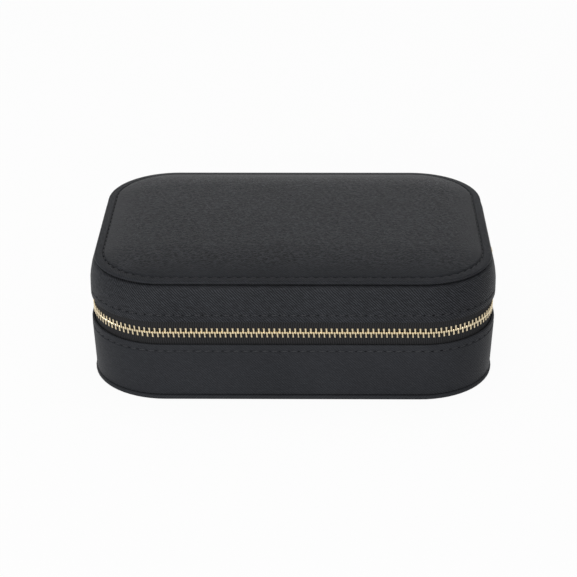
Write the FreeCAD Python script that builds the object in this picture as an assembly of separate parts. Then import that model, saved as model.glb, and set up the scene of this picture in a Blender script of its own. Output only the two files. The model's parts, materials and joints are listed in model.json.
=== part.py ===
import FreeCAD
import Part
import math
import os

# Zip-around leather jewellery case. Millimetres, +Z up, the front looks towards -Y.
# The origin is the middle of the underside, on the table.

# Overall shape
CASE_WIDTH = 170.0
CASE_DEPTH = 120.0
CORNER_RADIUS = 32.0
BASE_HEIGHT = 25.6
ZIP_GAP = 10.2
LID_WALL_HEIGHT = 16.0
LID_LEAN = 1.9
INNER_LEAN = 2.2
WALL_TAPER = 0.9

# Layers of the walls, from the outside in
EDGE_LEATHER = 1.2
EDGE_ROLL = 0.4
TAPE = 0.6
BOARD = 2.0
LINING = 0.8
GLUE = 0.1
SEAM_DEPTH = 4.6

# Bottom panel
PANEL_THICKNESS = 2.0
PANEL_OVERHANG = 0.1
PANEL_ROLL = 0.6
PANEL_EDGE = 1.0

# Padded top panel
RIM_INSET = 2.2
RIM_THICKNESS = 1.3
RIM_ROLL = 0.5
RIM_RUN = 2.7
RIM_RISE = 1.0
GROOVE = 0.3
SHOULDER_RUN = 2.8
SHOULDER_RISE = 1.5
CROWN_RUN = 26.0
CROWN_RISE = 1.2
TOP_LEATHER = 1.1

# Zip chain
TOOTH_PITCH = 2.12
TOOTH_WIDTH = 0.9
TOOTH_HALF_THICKNESS = 1.1
TOOTH_LEG = 2.23
TOOTH_HEAD = 0.6
TAPE_EDGE = 0.75
TAPE_SLIT = 0.45
TOOTH_GRIP = 0.05
STOP_LENGTH = 2.0

# Slider, its bail and its puller
SLIDER_LENGTH = 9.6
SLIDER_PLATE = 0.95
SLIDER_RUN = 0.25
SLIDER_FLANGE = 1.0
SLIDER_SLIT = 0.45
SLIDER_MOUTH = 0.3
SLIDER_CORNER = 0.9
SLIDER_REST_INSET = 1.6
MOUTH_TO_TOOTH = 4.32
WEDGE_LENGTH = 3.2
WEDGE_CLEARANCE = 0.2
BAIL_LIFT = 0.3
BAIL_BAR_RADIUS = 0.6
BAIL_LEG = 0.9
BAIL_LEG_MARGIN = 0.15
BAIL_HALF_SPAN = 1.7
PULLER_BORE_CLEARANCE = 0.08
PULLER_KNUCKLE_WALL = 0.62
PULLER_SIDE_GAP = 0.3
PULLER_LENGTH = 24.0
PULLER_NECK = 3.0
PULLER_FLARE = 5.0
PULLER_HALF_WIDTH = 3.0
PULLER_THICKNESS = 1.1

# Leather hinge at the back
HINGE_INSET = 3.0
HINGE_ROLL = 0.7
HINGE_END_GAP = 0.2

# Inside of the base
DIVIDER_THICKNESS = 2.4
DIVIDER_HEIGHT = 17.6
DIVIDER_X = 28.0
ROLL_COUNT = 8
ROLL_GAP = 0.3
ROLL_HEIGHT = 13.5

# Inside of the lid
TAB_COUNT = 3
TAB_SPACING = 45.0
TAB_LENGTH = 25.0
TAB_WIDTH = 11.0
TAB_THICKNESS = 1.2
TAB_SLOPE = 5.0
TAB_FRONT_INSET = 16.0
STRIP_WIDTH = 6.0
STRIP_GAP = 0.1
STRIP_OVERHANG = 4.0
SNAP_RADIUS = 3.8
SNAP_FROM_END = 5.0
SNAP_CAP = 1.0
SNAP_SOCKET = 1.0
SNAP_POST_RADIUS = 1.5
SNAP_CLEARANCE = 0.4
SNAP_WALL = 1.1
POCKET_LENGTH = 120.0
POCKET_DEPTH = 40.0
POCKET_BULGE = 5.0
POCKET_MOUTH = 2.75
POCKET_SEAM = 0.6
POCKET_BACK_INSET = 13.0
HEM_WIDTH = 4.0
HEM_THICKNESS = 2.6

Z_AXIS = FreeCAD.Vector(0, 0, 1)

# Inward offsets of the layers from the outer line of the walls
tape_out = EDGE_LEATHER + GLUE
tape_in = tape_out + TAPE
board_out = tape_in + GLUE
board_in = board_out + BOARD
lining_out = board_in + GLUE
lining_in = lining_out + LINING
chain_inset = tape_out + TAPE / 2

# Heights
zip_mid = BASE_HEIGHT + ZIP_GAP / 2
lid_edge = BASE_HEIGHT + ZIP_GAP
lid_seam = lid_edge + SEAM_DEPTH
base_seam = BASE_HEIGHT - SEAM_DEPTH
lid_top = lid_edge + LID_WALL_HEIGHT
floor_board_top = PANEL_THICKNESS + GLUE + BOARD
floor_top = floor_board_top + GLUE + LINING
rim_bottom = lid_top + GLUE
rim_top = rim_bottom + RIM_THICKNESS
groove_offset = RIM_INSET + RIM_THICKNESS / 2 + RIM_RUN
groove_bottom = rim_top + RIM_RISE - GROOVE
shoulder_z = groove_bottom + SHOULDER_RISE
crown_z = shoulder_z + CROWN_RISE
lid_board_top = groove_bottom - TOP_LEATHER - GLUE
lid_board_bottom = lid_board_top - BOARD
ceiling_top = lid_board_bottom - GLUE
ceiling = ceiling_top - LINING


class Side:
    """One straight wall of the case, walked counter-clockwise seen from above."""

    def __init__(self, start, along, out, length, corner):
        self.start = FreeCAD.Vector(*start, 0)
        self.along = FreeCAD.Vector(*along, 0)
        self.out = FreeCAD.Vector(*out, 0)
        self.length = length
        self.corner = FreeCAD.Vector(*corner, 0)
        self.rear_corner = corner[1] > 0
        self.is_back = out[1] > 0


half_width = CASE_WIDTH / 2
half_depth = CASE_DEPTH / 2
straight_x = half_width - CORNER_RADIUS
straight_y = half_depth - CORNER_RADIUS
hinge_half = straight_x - HINGE_INSET
SIDES = [
    Side((-straight_x, -half_depth), (1, 0), (0, -1), 2 * straight_x, (straight_x, -straight_y)),
    Side((half_width, -straight_y), (0, 1), (1, 0), 2 * straight_y, (straight_x, straight_y)),
    Side((straight_x, half_depth), (-1, 0), (0, 1), 2 * straight_x, (-straight_x, straight_y)),
    Side((-half_width, straight_y), (0, -1), (-1, 0), 2 * straight_y, (-straight_x, -straight_y)),
]


def face_of(at, steps):
    """Face inside a closed profile. A step is a corner, or a pair of an arc's middle and its end."""
    edges = []
    current = steps[0]
    for step in steps[1:] + [steps[0]]:
        if isinstance(step[0], tuple):
            middle, end = step
            edges.append(Part.Arc(at(current), at(middle), at(end)).toShape())
        else:
            end = step
            edges.append(Part.LineSegment(at(current), at(end)).toShape())
        current = end
    return Part.Face(Part.Wire(edges))


def section(side, distance):
    """Carries a profile point (inward offset, height) to a place along one side."""

    def at(point):
        flat = side.start + side.along * distance - side.out * point[0]
        return FreeCAD.Vector(flat.x, flat.y, point[1])

    return at


def joined(pieces):
    """One solid made of touching or overlapping pieces."""
    return pieces[0].multiFuse(pieces[1:]).removeSplitter().Solids[0]


def ring(steps, rear_steps=None, back_gap=0.0):
    """Profile carried round the case, with its own profile at the rear, or open at the back."""
    pieces = []
    for side in SIDES:
        own = rear_steps if rear_steps and side.is_back else steps
        runs = [(0.0, side.length)]
        if back_gap and side.is_back:
            middle = side.length / 2
            runs = [(0.0, middle - back_gap), (middle + back_gap, side.length)]
        for begin, end in runs:
            if end - begin > 0.01:
                pieces.append(face_of(section(side, begin), own).extrude(side.along * (end - begin)))
        own = rear_steps if rear_steps and side.rear_corner else steps
        pieces.append(face_of(section(side, side.length), own).revolve(side.corner, Z_AXIS, 90))
    return joined(pieces)


def plate(offset, low, high):
    """Flat plate with the case's rounded outline, drawn in by the offset."""
    edges = []
    for side, following in zip(SIDES, SIDES[1:] + SIDES[:1]):
        at = section(side, 0.0)
        end = section(side, side.length)
        edges.append(Part.LineSegment(at((offset, low)), end((offset, low))).toShape())
        turn = (side.out + following.out).normalize() * (CORNER_RADIUS - offset)
        middle = side.corner + turn + FreeCAD.Vector(0, 0, low)
        after = section(following, 0.0)((offset, low))
        edges.append(Part.Arc(end((offset, low)), middle, after).toShape())
    return Part.Face(Part.Wire(edges)).extrude(FreeCAD.Vector(0, 0, high - low))


def prism(at, steps, along):
    """Profile pushed along a vector."""
    return face_of(at, steps).extrude(FreeCAD.Vector(*along))


def lean(z):
    """How far the inner layers of the lid lean inwards at a height."""
    return (z - lid_edge) / LID_WALL_HEIGHT * INNER_LEAN


# Base shell


def base_panel():
    out = -PANEL_OVERHANG
    disc = plate(out + PANEL_ROLL, 0.0, PANEL_THICKNESS)
    edge = ring([
        (out + PANEL_ROLL, 0.0),
        (out, PANEL_ROLL),
        (out, PANEL_THICKNESS - PANEL_ROLL),
        (out + PANEL_ROLL, PANEL_THICKNESS),
        (out + PANEL_ROLL + PANEL_EDGE, PANEL_THICKNESS),
        (out + PANEL_ROLL + PANEL_EDGE, 0.0),
    ])
    return joined([disc, edge])


def rolled_edge(edge, inwards):
    """Rounded-over leather edge, from the outer face to the inner face."""
    back = edge + inwards * EDGE_ROLL
    return [(0.0, back), (EDGE_ROLL, edge), (EDGE_LEATHER - EDGE_ROLL, edge), (EDGE_LEATHER, back)]


def base_wall_leather():
    low = PANEL_THICKNESS + GLUE
    return ring([
        (WALL_TAPER, low),
        *rolled_edge(BASE_HEIGHT, -1),
        (EDGE_LEATHER, base_seam - GLUE),
        (tape_in, base_seam - GLUE),
        (tape_in, low),
    ])


def base_wall_board():
    low = PANEL_THICKNESS + GLUE
    high = BASE_HEIGHT - LINING - GLUE
    return ring([(board_out, low), (board_out, high), (board_in, high), (board_in, low)])


def base_board():
    return plate(board_in + GLUE, PANEL_THICKNESS + GLUE, floor_board_top)


def base_lining_floor():
    return plate(lining_out, floor_board_top + GLUE, floor_top)


def base_lining_wall():
    low = floor_top + GLUE
    lip = BASE_HEIGHT - LINING
    return ring([
        (lining_out, low),
        (lining_out, lip),
        (board_out, lip),
        (board_out, BASE_HEIGHT),
        (lining_in, BASE_HEIGHT),
        (lining_in, low),
    ])


def tape(outer_z, edge, rear_edge):
    """Half of the zip tape, from behind the leather to its edge under the teeth."""

    def band(inner_z):
        return [(tape_out, outer_z), (tape_out, inner_z), (tape_in, inner_z), (tape_in, outer_z)]

    return ring(band(edge), band(rear_edge), hinge_half + HINGE_END_GAP)


# Lid shell


def lid_wall_leather():
    rise = lid_top - lid_seam
    radius = (rise ** 2 + LID_LEAN ** 2) / (2 * LID_LEAN)
    half_angle = math.asin(rise / radius) / 2
    bulge = (radius - radius * math.cos(half_angle), lid_seam + radius * math.sin(half_angle))
    return ring([
        (LID_LEAN, lid_top),
        bulge,
        (0.0, lid_seam),
        *rolled_edge(lid_edge, 1),
        (EDGE_LEATHER, lid_seam + GLUE),
        (tape_in, lid_seam + GLUE),
        (tape_in + INNER_LEAN, lid_top),
    ])


def lid_wall_board():
    low = lid_edge + LINING + GLUE
    return ring([
        (board_out + lean(low), low),
        (board_out + lean(ceiling_top), ceiling_top),
        (board_in + lean(ceiling_top), ceiling_top),
        (board_in + lean(low), low),
    ])


def lid_lining_wall():
    lip = lid_edge + LINING
    high = ceiling - GLUE
    return ring([
        (lining_out + lean(lip), lip),
        (lining_out + lean(high), high),
        (lining_in + lean(high), high),
        (lining_in, lid_edge),
        (board_out, lid_edge),
        (board_out, lip),
    ])


def lid_lining_panel():
    return plate(lining_out + lean(ceiling_top), ceiling, ceiling_top)


def lid_board():
    return plate(tape_in + INNER_LEAN + GLUE, lid_board_bottom, lid_board_top)


def under_crown(inset, drop):
    """Points under the padded top, lowered by a layer's thickness."""
    shoulder = groove_offset + SHOULDER_RUN
    return [
        (groove_offset + inset, groove_bottom - drop),
        (shoulder + inset / 2, shoulder_z - drop),
        (CROWN_RUN, crown_z - drop),
    ]


def lid_top_leather():
    shoulder = groove_offset + SHOULDER_RUN
    lift = (groove_offset + 0.25 * SHOULDER_RUN, groove_bottom + 0.62 * SHOULDER_RISE)
    swell = (shoulder + 0.4 * (CROWN_RUN - shoulder), shoulder_z + 0.64 * CROWN_RISE)
    under = groove_bottom - TOP_LEATHER
    steps = [
        (RIM_INSET + RIM_ROLL, rim_bottom),
        (RIM_INSET, rim_bottom + RIM_ROLL),
        (RIM_INSET, rim_top - RIM_ROLL),
        (RIM_INSET + RIM_ROLL, rim_top),
        (groove_offset - GROOVE, rim_top + RIM_RISE),
        (groove_offset, groove_bottom),
        lift,
        (shoulder, shoulder_z),
        swell,
        (CROWN_RUN, crown_z),
        *reversed(under_crown(TOP_LEATHER, TOP_LEATHER)),
        (tape_in + INNER_LEAN, under),
        (tape_in + INNER_LEAN, rim_bottom),
    ]
    crown = plate(CROWN_RUN, crown_z - TOP_LEATHER, crown_z)
    return joined([ring(steps), crown])


def lid_foam():
    drop = TOP_LEATHER + GLUE
    low = lid_board_top + GLUE
    start = (groove_offset + drop + GLUE, low)
    steps = [start, *under_crown(drop, drop)[1:], (CROWN_RUN, low)]
    core = plate(CROWN_RUN, low, crown_z - drop)
    return joined([ring(steps), core])


# Zip chain


chain_radius = CORNER_RADIUS - chain_inset
corner_run = math.pi / 2 * chain_radius
CHAIN = [
    ("arc", corner_run, (straight_x, straight_y), 90.0),
    ("line", 2 * straight_y, (half_width - chain_inset, straight_y), 0.0),
    ("arc", corner_run, (straight_x, -straight_y), 0.0),
    ("line", 2 * straight_x, (straight_x, chain_inset - half_depth), -90.0),
    ("arc", corner_run, (-straight_x, -straight_y), -90.0),
    ("line", 2 * straight_y, (chain_inset - half_width, -straight_y), -180.0),
    ("arc", corner_run, (-straight_x, straight_y), -180.0),
]
right_start = corner_run
front_start = right_start + 2 * straight_y
left_start = front_start + 2 * corner_run + 2 * straight_x
left_end = left_start + 2 * straight_y


def on_chain(distance):
    """Placement on the chain's middle line, clockwise from the right end of the back wall."""
    for kind, length, point, normal in CHAIN:
        if distance <= length:
            break
        distance -= length
    if kind == "arc":
        angle = normal - math.degrees(distance / chain_radius)
        x = point[0] + chain_radius * math.cos(math.radians(angle))
        y = point[1] + chain_radius * math.sin(math.radians(angle))
    else:
        angle = normal
        x = point[0] + distance * math.sin(math.radians(angle))
        y = point[1] - distance * math.cos(math.radians(angle))
    turn = FreeCAD.Rotation(Z_AXIS, angle - 90.0)
    return FreeCAD.Placement(FreeCAD.Vector(x, y, zip_mid), turn)


def clip(length, head, tape_edge, up):
    """Metal clip on the edge of a tape half: two legs with the tape's slot between them, and a head."""
    slot = TAPE / 2 + TOOTH_GRIP
    depth = tape_edge - TOOTH_GRIP
    outline = [
        (-TOOTH_HALF_THICKNESS, -TOOTH_LEG),
        (-slot, -TOOTH_LEG),
        (-slot, -depth),
        (slot, -depth),
        (slot, -TOOTH_LEG),
        (TOOTH_HALF_THICKNESS, -TOOTH_LEG),
        (TOOTH_HALF_THICKNESS, head),
        (-TOOTH_HALF_THICKNESS, head),
    ]

    def at(point):
        return FreeCAD.Vector(-length / 2, point[0], point[1] * up)

    return prism(at, outline, (length, 0, 0))


def placed(shape, distance):
    copy = shape.copy()
    copy.Placement = on_chain(distance)
    return copy


slider_rest = right_start + SLIDER_REST_INSET + SLIDER_LENGTH / 2
first_tooth = slider_rest - SLIDER_LENGTH / 2 + MOUTH_TO_TOOTH
stop_place = slider_rest - SLIDER_LENGTH / 2 - GLUE - STOP_LENGTH / 2


def teeth(up):
    """Teeth of one tape half, grouped by the wall they run along."""
    tooth = clip(TOOTH_WIDTH, TOOTH_HEAD, TAPE_EDGE, up)
    groups = {"right": [], "front": [], "left": []}
    distance = first_tooth if up > 0 else first_tooth + TOOTH_PITCH / 2
    last_place = left_end - TOOTH_WIDTH / 2 - TOOTH_GRIP
    while distance < last_place:
        name = "front"
        if distance < front_start:
            name = "right"
        elif distance > left_start:
            name = "left"
        groups[name].append(placed(tooth, distance))
        distance += TOOTH_PITCH
    return groups


def zip_stop(up):
    """Stop clamped on one tape half behind the closed slider."""
    distance = stop_place if up > 0 else stop_place - STOP_LENGTH - GLUE
    return placed(clip(STOP_LENGTH, 0.0, TAPE_SLIT, up), distance)


def zip_bottom_stop():
    """Clamp that joins both tape halves at the end of the chain."""
    slot = TAPE / 2 + TOOTH_GRIP
    depth = TAPE_SLIT - TOOTH_GRIP
    right = [
        (slot, -depth),
        (slot, -TOOTH_LEG),
        (TOOTH_HALF_THICKNESS, -TOOTH_LEG),
        (TOOTH_HALF_THICKNESS, TOOTH_LEG),
        (slot, TOOTH_LEG),
        (slot, depth),
    ]
    left = [(-v, w) for v, w in reversed(right)]

    def at(point):
        return FreeCAD.Vector(-STOP_LENGTH / 2, point[0], point[1])

    body = prism(at, right + left, (STOP_LENGTH, 0, 0))
    return placed(body, left_end + TOOTH_PITCH / 2 + STOP_LENGTH / 2)


# Slider, bail and puller, in the slider's own axes: u along the chain, v outwards, w up


channel = TOOTH_HALF_THICKNESS + SLIDER_RUN
plate_out = channel + SLIDER_PLATE
flange_in = TOOTH_LEG + SLIDER_RUN
flange_out = flange_in + SLIDER_FLANGE
bail_v = plate_out + BAIL_BAR_RADIUS + PULLER_BORE_CLEARANCE + PULLER_KNUCKLE_WALL + BAIL_LIFT
knuckle_bore = BAIL_BAR_RADIUS + PULLER_BORE_CLEARANCE
knuckle_radius = knuckle_bore + PULLER_KNUCKLE_WALL


def slab(outline, low, high):
    """Plan outline (u, w) between two distances from the tape's middle plane."""

    def at(point):
        return FreeCAD.Vector(point[0], low, point[1])

    return prism(at, outline, (0, high - low, 0))


def slider_body():
    half = SLIDER_LENGTH / 2
    mouth = flange_out + SLIDER_MOUTH
    waist = -0.1 * half
    flange = [
        (SLIDER_CORNER - half, flange_in + SLIDER_MOUTH),
        (waist, flange_in + SLIDER_MOUTH),
        (half - SLIDER_CORNER, flange_in),
        (half - SLIDER_CORNER, flange_out),
        (waist, mouth),
        (SLIDER_CORNER - half, mouth),
    ]
    edge = [(-half, mouth - SLIDER_CORNER), *reversed(flange[3:]), (half, flange_out - SLIDER_CORNER)]
    shield = edge + [(u, -w) for u, w in reversed(edge)]
    wedge = TAPE_EDGE - WEDGE_CLEARANCE
    front = SLIDER_MOUTH - half
    corners = [(front, 0.0), (front + 0.25 * WEDGE_LENGTH, wedge), (front + 0.55 * WEDGE_LENGTH, wedge)]
    diamond = corners + [(front + WEDGE_LENGTH, 0.0)] + [(u, -w) for u, w in reversed(corners[1:])]
    pieces = [slab(shield, channel, plate_out), slab(shield, -plate_out, -channel)]
    for up in (1, -1):
        own = [(u, w * up) for u, w in flange]
        pieces.append(slab(own, SLIDER_SLIT, channel))
        pieces.append(slab(own, -channel, -SLIDER_SLIT))
    pieces.append(slab(diamond, -channel, channel))
    return placed(joined(pieces), slider_rest)


def slider_bail():
    half = BAIL_BAR_RADIUS + BAIL_LEG_MARGIN
    top = bail_v + half
    bar_start = FreeCAD.Vector(-BAIL_HALF_SPAN, bail_v, 0)
    pieces = [Part.makeCylinder(BAIL_BAR_RADIUS, 2 * BAIL_HALF_SPAN, bar_start, FreeCAD.Vector(1, 0, 0))]
    for start in (-BAIL_HALF_SPAN - BAIL_LEG, BAIL_HALF_SPAN):
        corner = FreeCAD.Vector(start, plate_out, -half)
        pieces.append(Part.makeBox(BAIL_LEG, top - plate_out, 2 * half, corner))
    return placed(joined(pieces), slider_rest)


def zip_puller():
    half_knuckle = BAIL_HALF_SPAN - PULLER_SIDE_GAP
    end = -PULLER_LENGTH
    wide = PULLER_HALF_WIDTH
    flared = -PULLER_NECK - PULLER_FLARE
    outline = [
        (-half_knuckle, 0.0),
        (half_knuckle, 0.0),
        (half_knuckle, -PULLER_NECK),
        (wide, flared),
        (wide, end + wide),
        ((0.0, end), (-wide, end + wide)),
        (-wide, flared),
        (-half_knuckle, -PULLER_NECK),
    ]
    half = PULLER_THICKNESS / 2
    start = FreeCAD.Vector(-half_knuckle, bail_v, 0)
    along = FreeCAD.Vector(1, 0, 0)
    knuckle = Part.makeCylinder(knuckle_radius, 2 * half_knuckle, start, along)
    blank = joined([slab(outline, bail_v - half, bail_v + half), knuckle])
    bore = Part.makeCylinder(knuckle_bore, 2 * half_knuckle, start, along)
    return placed(blank.cut(bore).Solids[0], slider_rest)


# Leather hinge


def back_run(steps):
    back = SIDES[2]
    begin = back.length / 2 - hinge_half
    return face_of(section(back, begin), steps).extrude(back.along * 2 * hinge_half)


def hinge_strip():
    return back_run([
        (tape_in, base_seam),
        (tape_in, lid_seam),
        (tape_out, lid_seam),
        (tape_out, lid_edge - EDGE_ROLL),
        ((tape_out - HINGE_ROLL, zip_mid), (tape_out, BASE_HEIGHT + EDGE_ROLL)),
        (tape_out, base_seam),
    ])


def hinge_lining():
    low = BASE_HEIGHT + GLUE
    high = lid_edge - GLUE
    near = tape_in + GLUE
    return back_run([(near, low), (near, high), (near + LINING, high), (near + LINING, low)])


# Inside of the base


inner_x = half_width - lining_in
inner_y = half_depth - lining_in
divider_low = floor_top + GLUE
divider_top = divider_low + DIVIDER_HEIGHT


def rounded_bar(half):
    """Upright section of a cloth-covered divider, with a round top edge."""
    shoulder = divider_top - half
    return [
        (-half, divider_low),
        (half, divider_low),
        (half, shoulder),
        ((0.0, divider_top), (-half, shoulder)),
    ]


def long_divider(x):
    reach = inner_y - GLUE

    def at(point):
        return FreeCAD.Vector(x + point[0], -reach, point[1])

    return prism(at, rounded_bar(DIVIDER_THICKNESS / 2), (0, 2 * reach, 0))


def cross_divider():
    start = DIVIDER_X + DIVIDER_THICKNESS / 2 + GLUE

    def at(point):
        return FreeCAD.Vector(start, point[0], point[1])

    return prism(at, rounded_bar(DIVIDER_THICKNESS / 2), (inner_x - GLUE - start, 0, 0))


def ring_roll(index):
    """One padded roll that grips rings against its neighbours."""
    pitch = 2 * inner_y / ROLL_COUNT
    half = (pitch - ROLL_GAP) / 2
    middle = -inner_y + (index + 0.5) * pitch
    reach = DIVIDER_X - DIVIDER_THICKNESS / 2 - GLUE
    low = floor_top + GLUE
    shoulder = low + ROLL_HEIGHT - half

    def at(point):
        return FreeCAD.Vector(-reach, middle + point[0], point[1])

    steps = [(-half, low), (half, low), (half, shoulder), ((0.0, low + ROLL_HEIGHT), (-half, shoulder))]
    return prism(at, steps, (2 * reach, 0, 0))


# Inside of the lid


tab_y = TAB_FRONT_INSET - half_depth
tab_axis_z = ceiling - GLUE - TAB_THICKNESS / 2
snap_y = TAB_LENGTH - SNAP_FROM_END


def tab_place(index):
    x = (index - (TAB_COUNT - 1) / 2) * TAB_SPACING
    turn = FreeCAD.Rotation(FreeCAD.Vector(1, 0, 0), -TAB_SLOPE)
    return FreeCAD.Placement(FreeCAD.Vector(x, tab_y, tab_axis_z), turn)


def necklace_tab(index):
    """Leather tab whose rolled root turns in place beside the strip."""
    half = TAB_WIDTH / 2
    straight = TAB_LENGTH - half

    def at(point):
        return FreeCAD.Vector(point[0], point[1], -TAB_THICKNESS / 2)

    steps = [(-half, 0.0), (half, 0.0), (half, straight), ((0.0, TAB_LENGTH), (-half, straight))]
    start = FreeCAD.Vector(-half, 0, 0)
    root = Part.makeCylinder(TAB_THICKNESS / 2, TAB_WIDTH, start, FreeCAD.Vector(1, 0, 0))
    tab = joined([prism(at, steps, (0, 0, TAB_THICKNESS)), root])
    tab.Placement = tab_place(index)
    return tab


def tab_snap(index):
    """Cap and socket of the press stud set in a tab, on its two faces."""
    half = TAB_THICKNESS / 2
    bore = SNAP_POST_RADIUS + SNAP_CLEARANCE
    cap_foot = FreeCAD.Vector(0, snap_y, -half - SNAP_CAP)
    cap = Part.makeCylinder(SNAP_RADIUS, SNAP_CAP, cap_foot, Z_AXIS)
    socket_foot = FreeCAD.Vector(0, snap_y, half)
    socket = Part.makeCylinder(bore + SNAP_WALL, SNAP_SOCKET, socket_foot, Z_AXIS)
    socket = socket.cut(Part.makeCylinder(bore, SNAP_SOCKET, socket_foot, Z_AXIS)).Solids[0]
    for piece in (cap, socket):
        piece.Placement = tab_place(index).multiply(piece.Placement)
    return Part.makeCompound([cap, socket])


def snap_posts():
    posts = []
    for index in range(TAB_COUNT):
        spot = tab_place(index).multVec(FreeCAD.Vector(0, snap_y, TAB_THICKNESS / 2 + SNAP_SOCKET))
        foot = FreeCAD.Vector(spot.x, spot.y, ceiling - GLUE)
        drop = ceiling - GLUE - spot.z + 0.5 * SNAP_SOCKET
        posts.append(Part.makeCylinder(SNAP_POST_RADIUS, drop, foot, FreeCAD.Vector(0, 0, -1)))
    return posts


def necklace_strip():
    length = (TAB_COUNT - 1) * TAB_SPACING + TAB_WIDTH + 2 * STRIP_OVERHANG
    back = tab_y - TAB_THICKNESS / 2 - STRIP_GAP
    corner = FreeCAD.Vector(-length / 2, back - STRIP_WIDTH, ceiling - GLUE - TAB_THICKNESS)
    return Part.makeBox(length, STRIP_WIDTH, TAB_THICKNESS, corner)


pocket_back = half_depth - POCKET_BACK_INSET
pocket_front = pocket_back - POCKET_DEPTH


def along_pocket(point):
    return FreeCAD.Vector(-POCKET_LENGTH / 2, point[0], ceiling - GLUE - point[1])


def lid_pocket():
    """Pouch in the lid, its mouth towards the front."""
    steps = [
        (pocket_front, 0.0),
        (pocket_front, POCKET_MOUTH),
        ((pocket_front + 0.45 * POCKET_DEPTH, POCKET_BULGE), (pocket_back, POCKET_SEAM)),
        (pocket_back, 0.0),
    ]
    return prism(along_pocket, steps, (POCKET_LENGTH, 0, 0))


def pocket_hem():
    front = pocket_front - GLUE - HEM_WIDTH
    back = pocket_front - GLUE
    middle = (front + back) / 2
    side = 0.5 * HEM_THICKNESS
    steps = [(front, 0.0), (front, side), ((middle, HEM_THICKNESS), (back, side)), (back, 0.0)]
    return prism(along_pocket, steps, (POCKET_LENGTH, 0, 0))


def main():
    lower = teeth(1)
    upper = teeth(-1)
    nodes = {
        "base_panel": base_panel(),
        "base_board": base_board(),
        "base_wall_board": base_wall_board(),
        "base_wall_leather": base_wall_leather(),
        "base_lining_floor": base_lining_floor(),
        "base_lining_wall": base_lining_wall(),
        "base_zip_tape": tape(base_seam, zip_mid - TAPE_EDGE, zip_mid - TAPE_SLIT),
        "base_zip_stop": zip_stop(1),
        "zip_bottom_stop": zip_bottom_stop(),
        "hinge_strip": hinge_strip(),
        "hinge_lining": hinge_lining(),
        "divider_left": long_divider(-DIVIDER_X),
        "divider_right": long_divider(DIVIDER_X),
        "divider_cross": cross_divider(),
        "lid_top_leather": lid_top_leather(),
        "lid_foam": lid_foam(),
        "lid_board": lid_board(),
        "lid_wall_board": lid_wall_board(),
        "lid_wall_leather": lid_wall_leather(),
        "lid_lining_panel": lid_lining_panel(),
        "lid_lining_wall": lid_lining_wall(),
        "lid_zip_tape": tape(lid_seam, zip_mid + TAPE_EDGE, zip_mid + TAPE_SLIT),
        "lid_zip_stop": zip_stop(-1),
        "necklace_strip": necklace_strip(),
        "snap_posts": Part.makeCompound(snap_posts()),
        "lid_pocket": lid_pocket(),
        "pocket_hem": pocket_hem(),
        "slider_body": slider_body(),
        "slider_bail": slider_bail(),
        "zip_puller": zip_puller(),
    }
    for wall in ("right", "front", "left"):
        nodes["base_teeth_" + wall] = Part.makeCompound(lower[wall])
        nodes["lid_teeth_" + wall] = Part.makeCompound(upper[wall])
    for index in range(ROLL_COUNT):
        nodes["ring_roll_" + str(index + 1)] = ring_roll(index)
    for index in range(TAB_COUNT):
        nodes["necklace_tab_" + str(index + 1)] = necklace_tab(index)
        nodes["tab_snap_" + str(index + 1)] = tab_snap(index)
    os.makedirs("parts", exist_ok=True)
    for name, shape in nodes.items():
        shape.exportStep("parts/" + name + ".step")


main()
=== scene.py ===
"""Looks of a zip-around leather jewellery case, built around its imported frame."""

import json
import math

import bmesh
import bpy
from mathutils import Matrix, Vector
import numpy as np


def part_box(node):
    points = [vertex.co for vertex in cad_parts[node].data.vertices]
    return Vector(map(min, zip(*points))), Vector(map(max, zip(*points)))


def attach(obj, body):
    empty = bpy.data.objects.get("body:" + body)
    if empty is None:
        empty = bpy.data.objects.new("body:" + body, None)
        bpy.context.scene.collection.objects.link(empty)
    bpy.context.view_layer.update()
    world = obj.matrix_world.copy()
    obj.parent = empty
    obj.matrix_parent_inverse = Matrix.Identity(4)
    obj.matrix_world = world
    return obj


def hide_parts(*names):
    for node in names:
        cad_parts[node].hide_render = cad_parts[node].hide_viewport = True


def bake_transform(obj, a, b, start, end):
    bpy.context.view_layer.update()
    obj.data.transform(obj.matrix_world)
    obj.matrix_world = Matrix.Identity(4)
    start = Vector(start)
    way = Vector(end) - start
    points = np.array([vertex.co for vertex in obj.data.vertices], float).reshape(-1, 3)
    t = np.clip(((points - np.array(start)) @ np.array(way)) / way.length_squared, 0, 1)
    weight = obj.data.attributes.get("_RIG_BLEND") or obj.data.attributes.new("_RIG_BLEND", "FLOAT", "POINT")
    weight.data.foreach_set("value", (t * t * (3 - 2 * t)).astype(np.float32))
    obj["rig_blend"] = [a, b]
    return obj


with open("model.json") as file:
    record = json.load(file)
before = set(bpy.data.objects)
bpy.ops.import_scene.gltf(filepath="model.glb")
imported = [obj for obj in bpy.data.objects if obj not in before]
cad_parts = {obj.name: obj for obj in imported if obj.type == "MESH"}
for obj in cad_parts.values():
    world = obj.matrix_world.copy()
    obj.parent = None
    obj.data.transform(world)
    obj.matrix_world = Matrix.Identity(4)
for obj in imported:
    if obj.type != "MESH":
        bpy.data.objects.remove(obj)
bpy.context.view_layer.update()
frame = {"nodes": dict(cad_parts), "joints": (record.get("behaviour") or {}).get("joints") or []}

bl_info = {
    "name": "Zip-Around Jewellery Case",
    "version": (1, 0, 0),
    "blender": (4, 5, 0),
    "location": "View3D > Sidebar > Jewellery Case",
    "description": "Dresses a leather jewellery case in grained leather, a metal zip and a soft lining",
    "category": "Object",
}

MM = 0.001
QUARTER = math.pi / 2
GRAIN = "grain"

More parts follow.
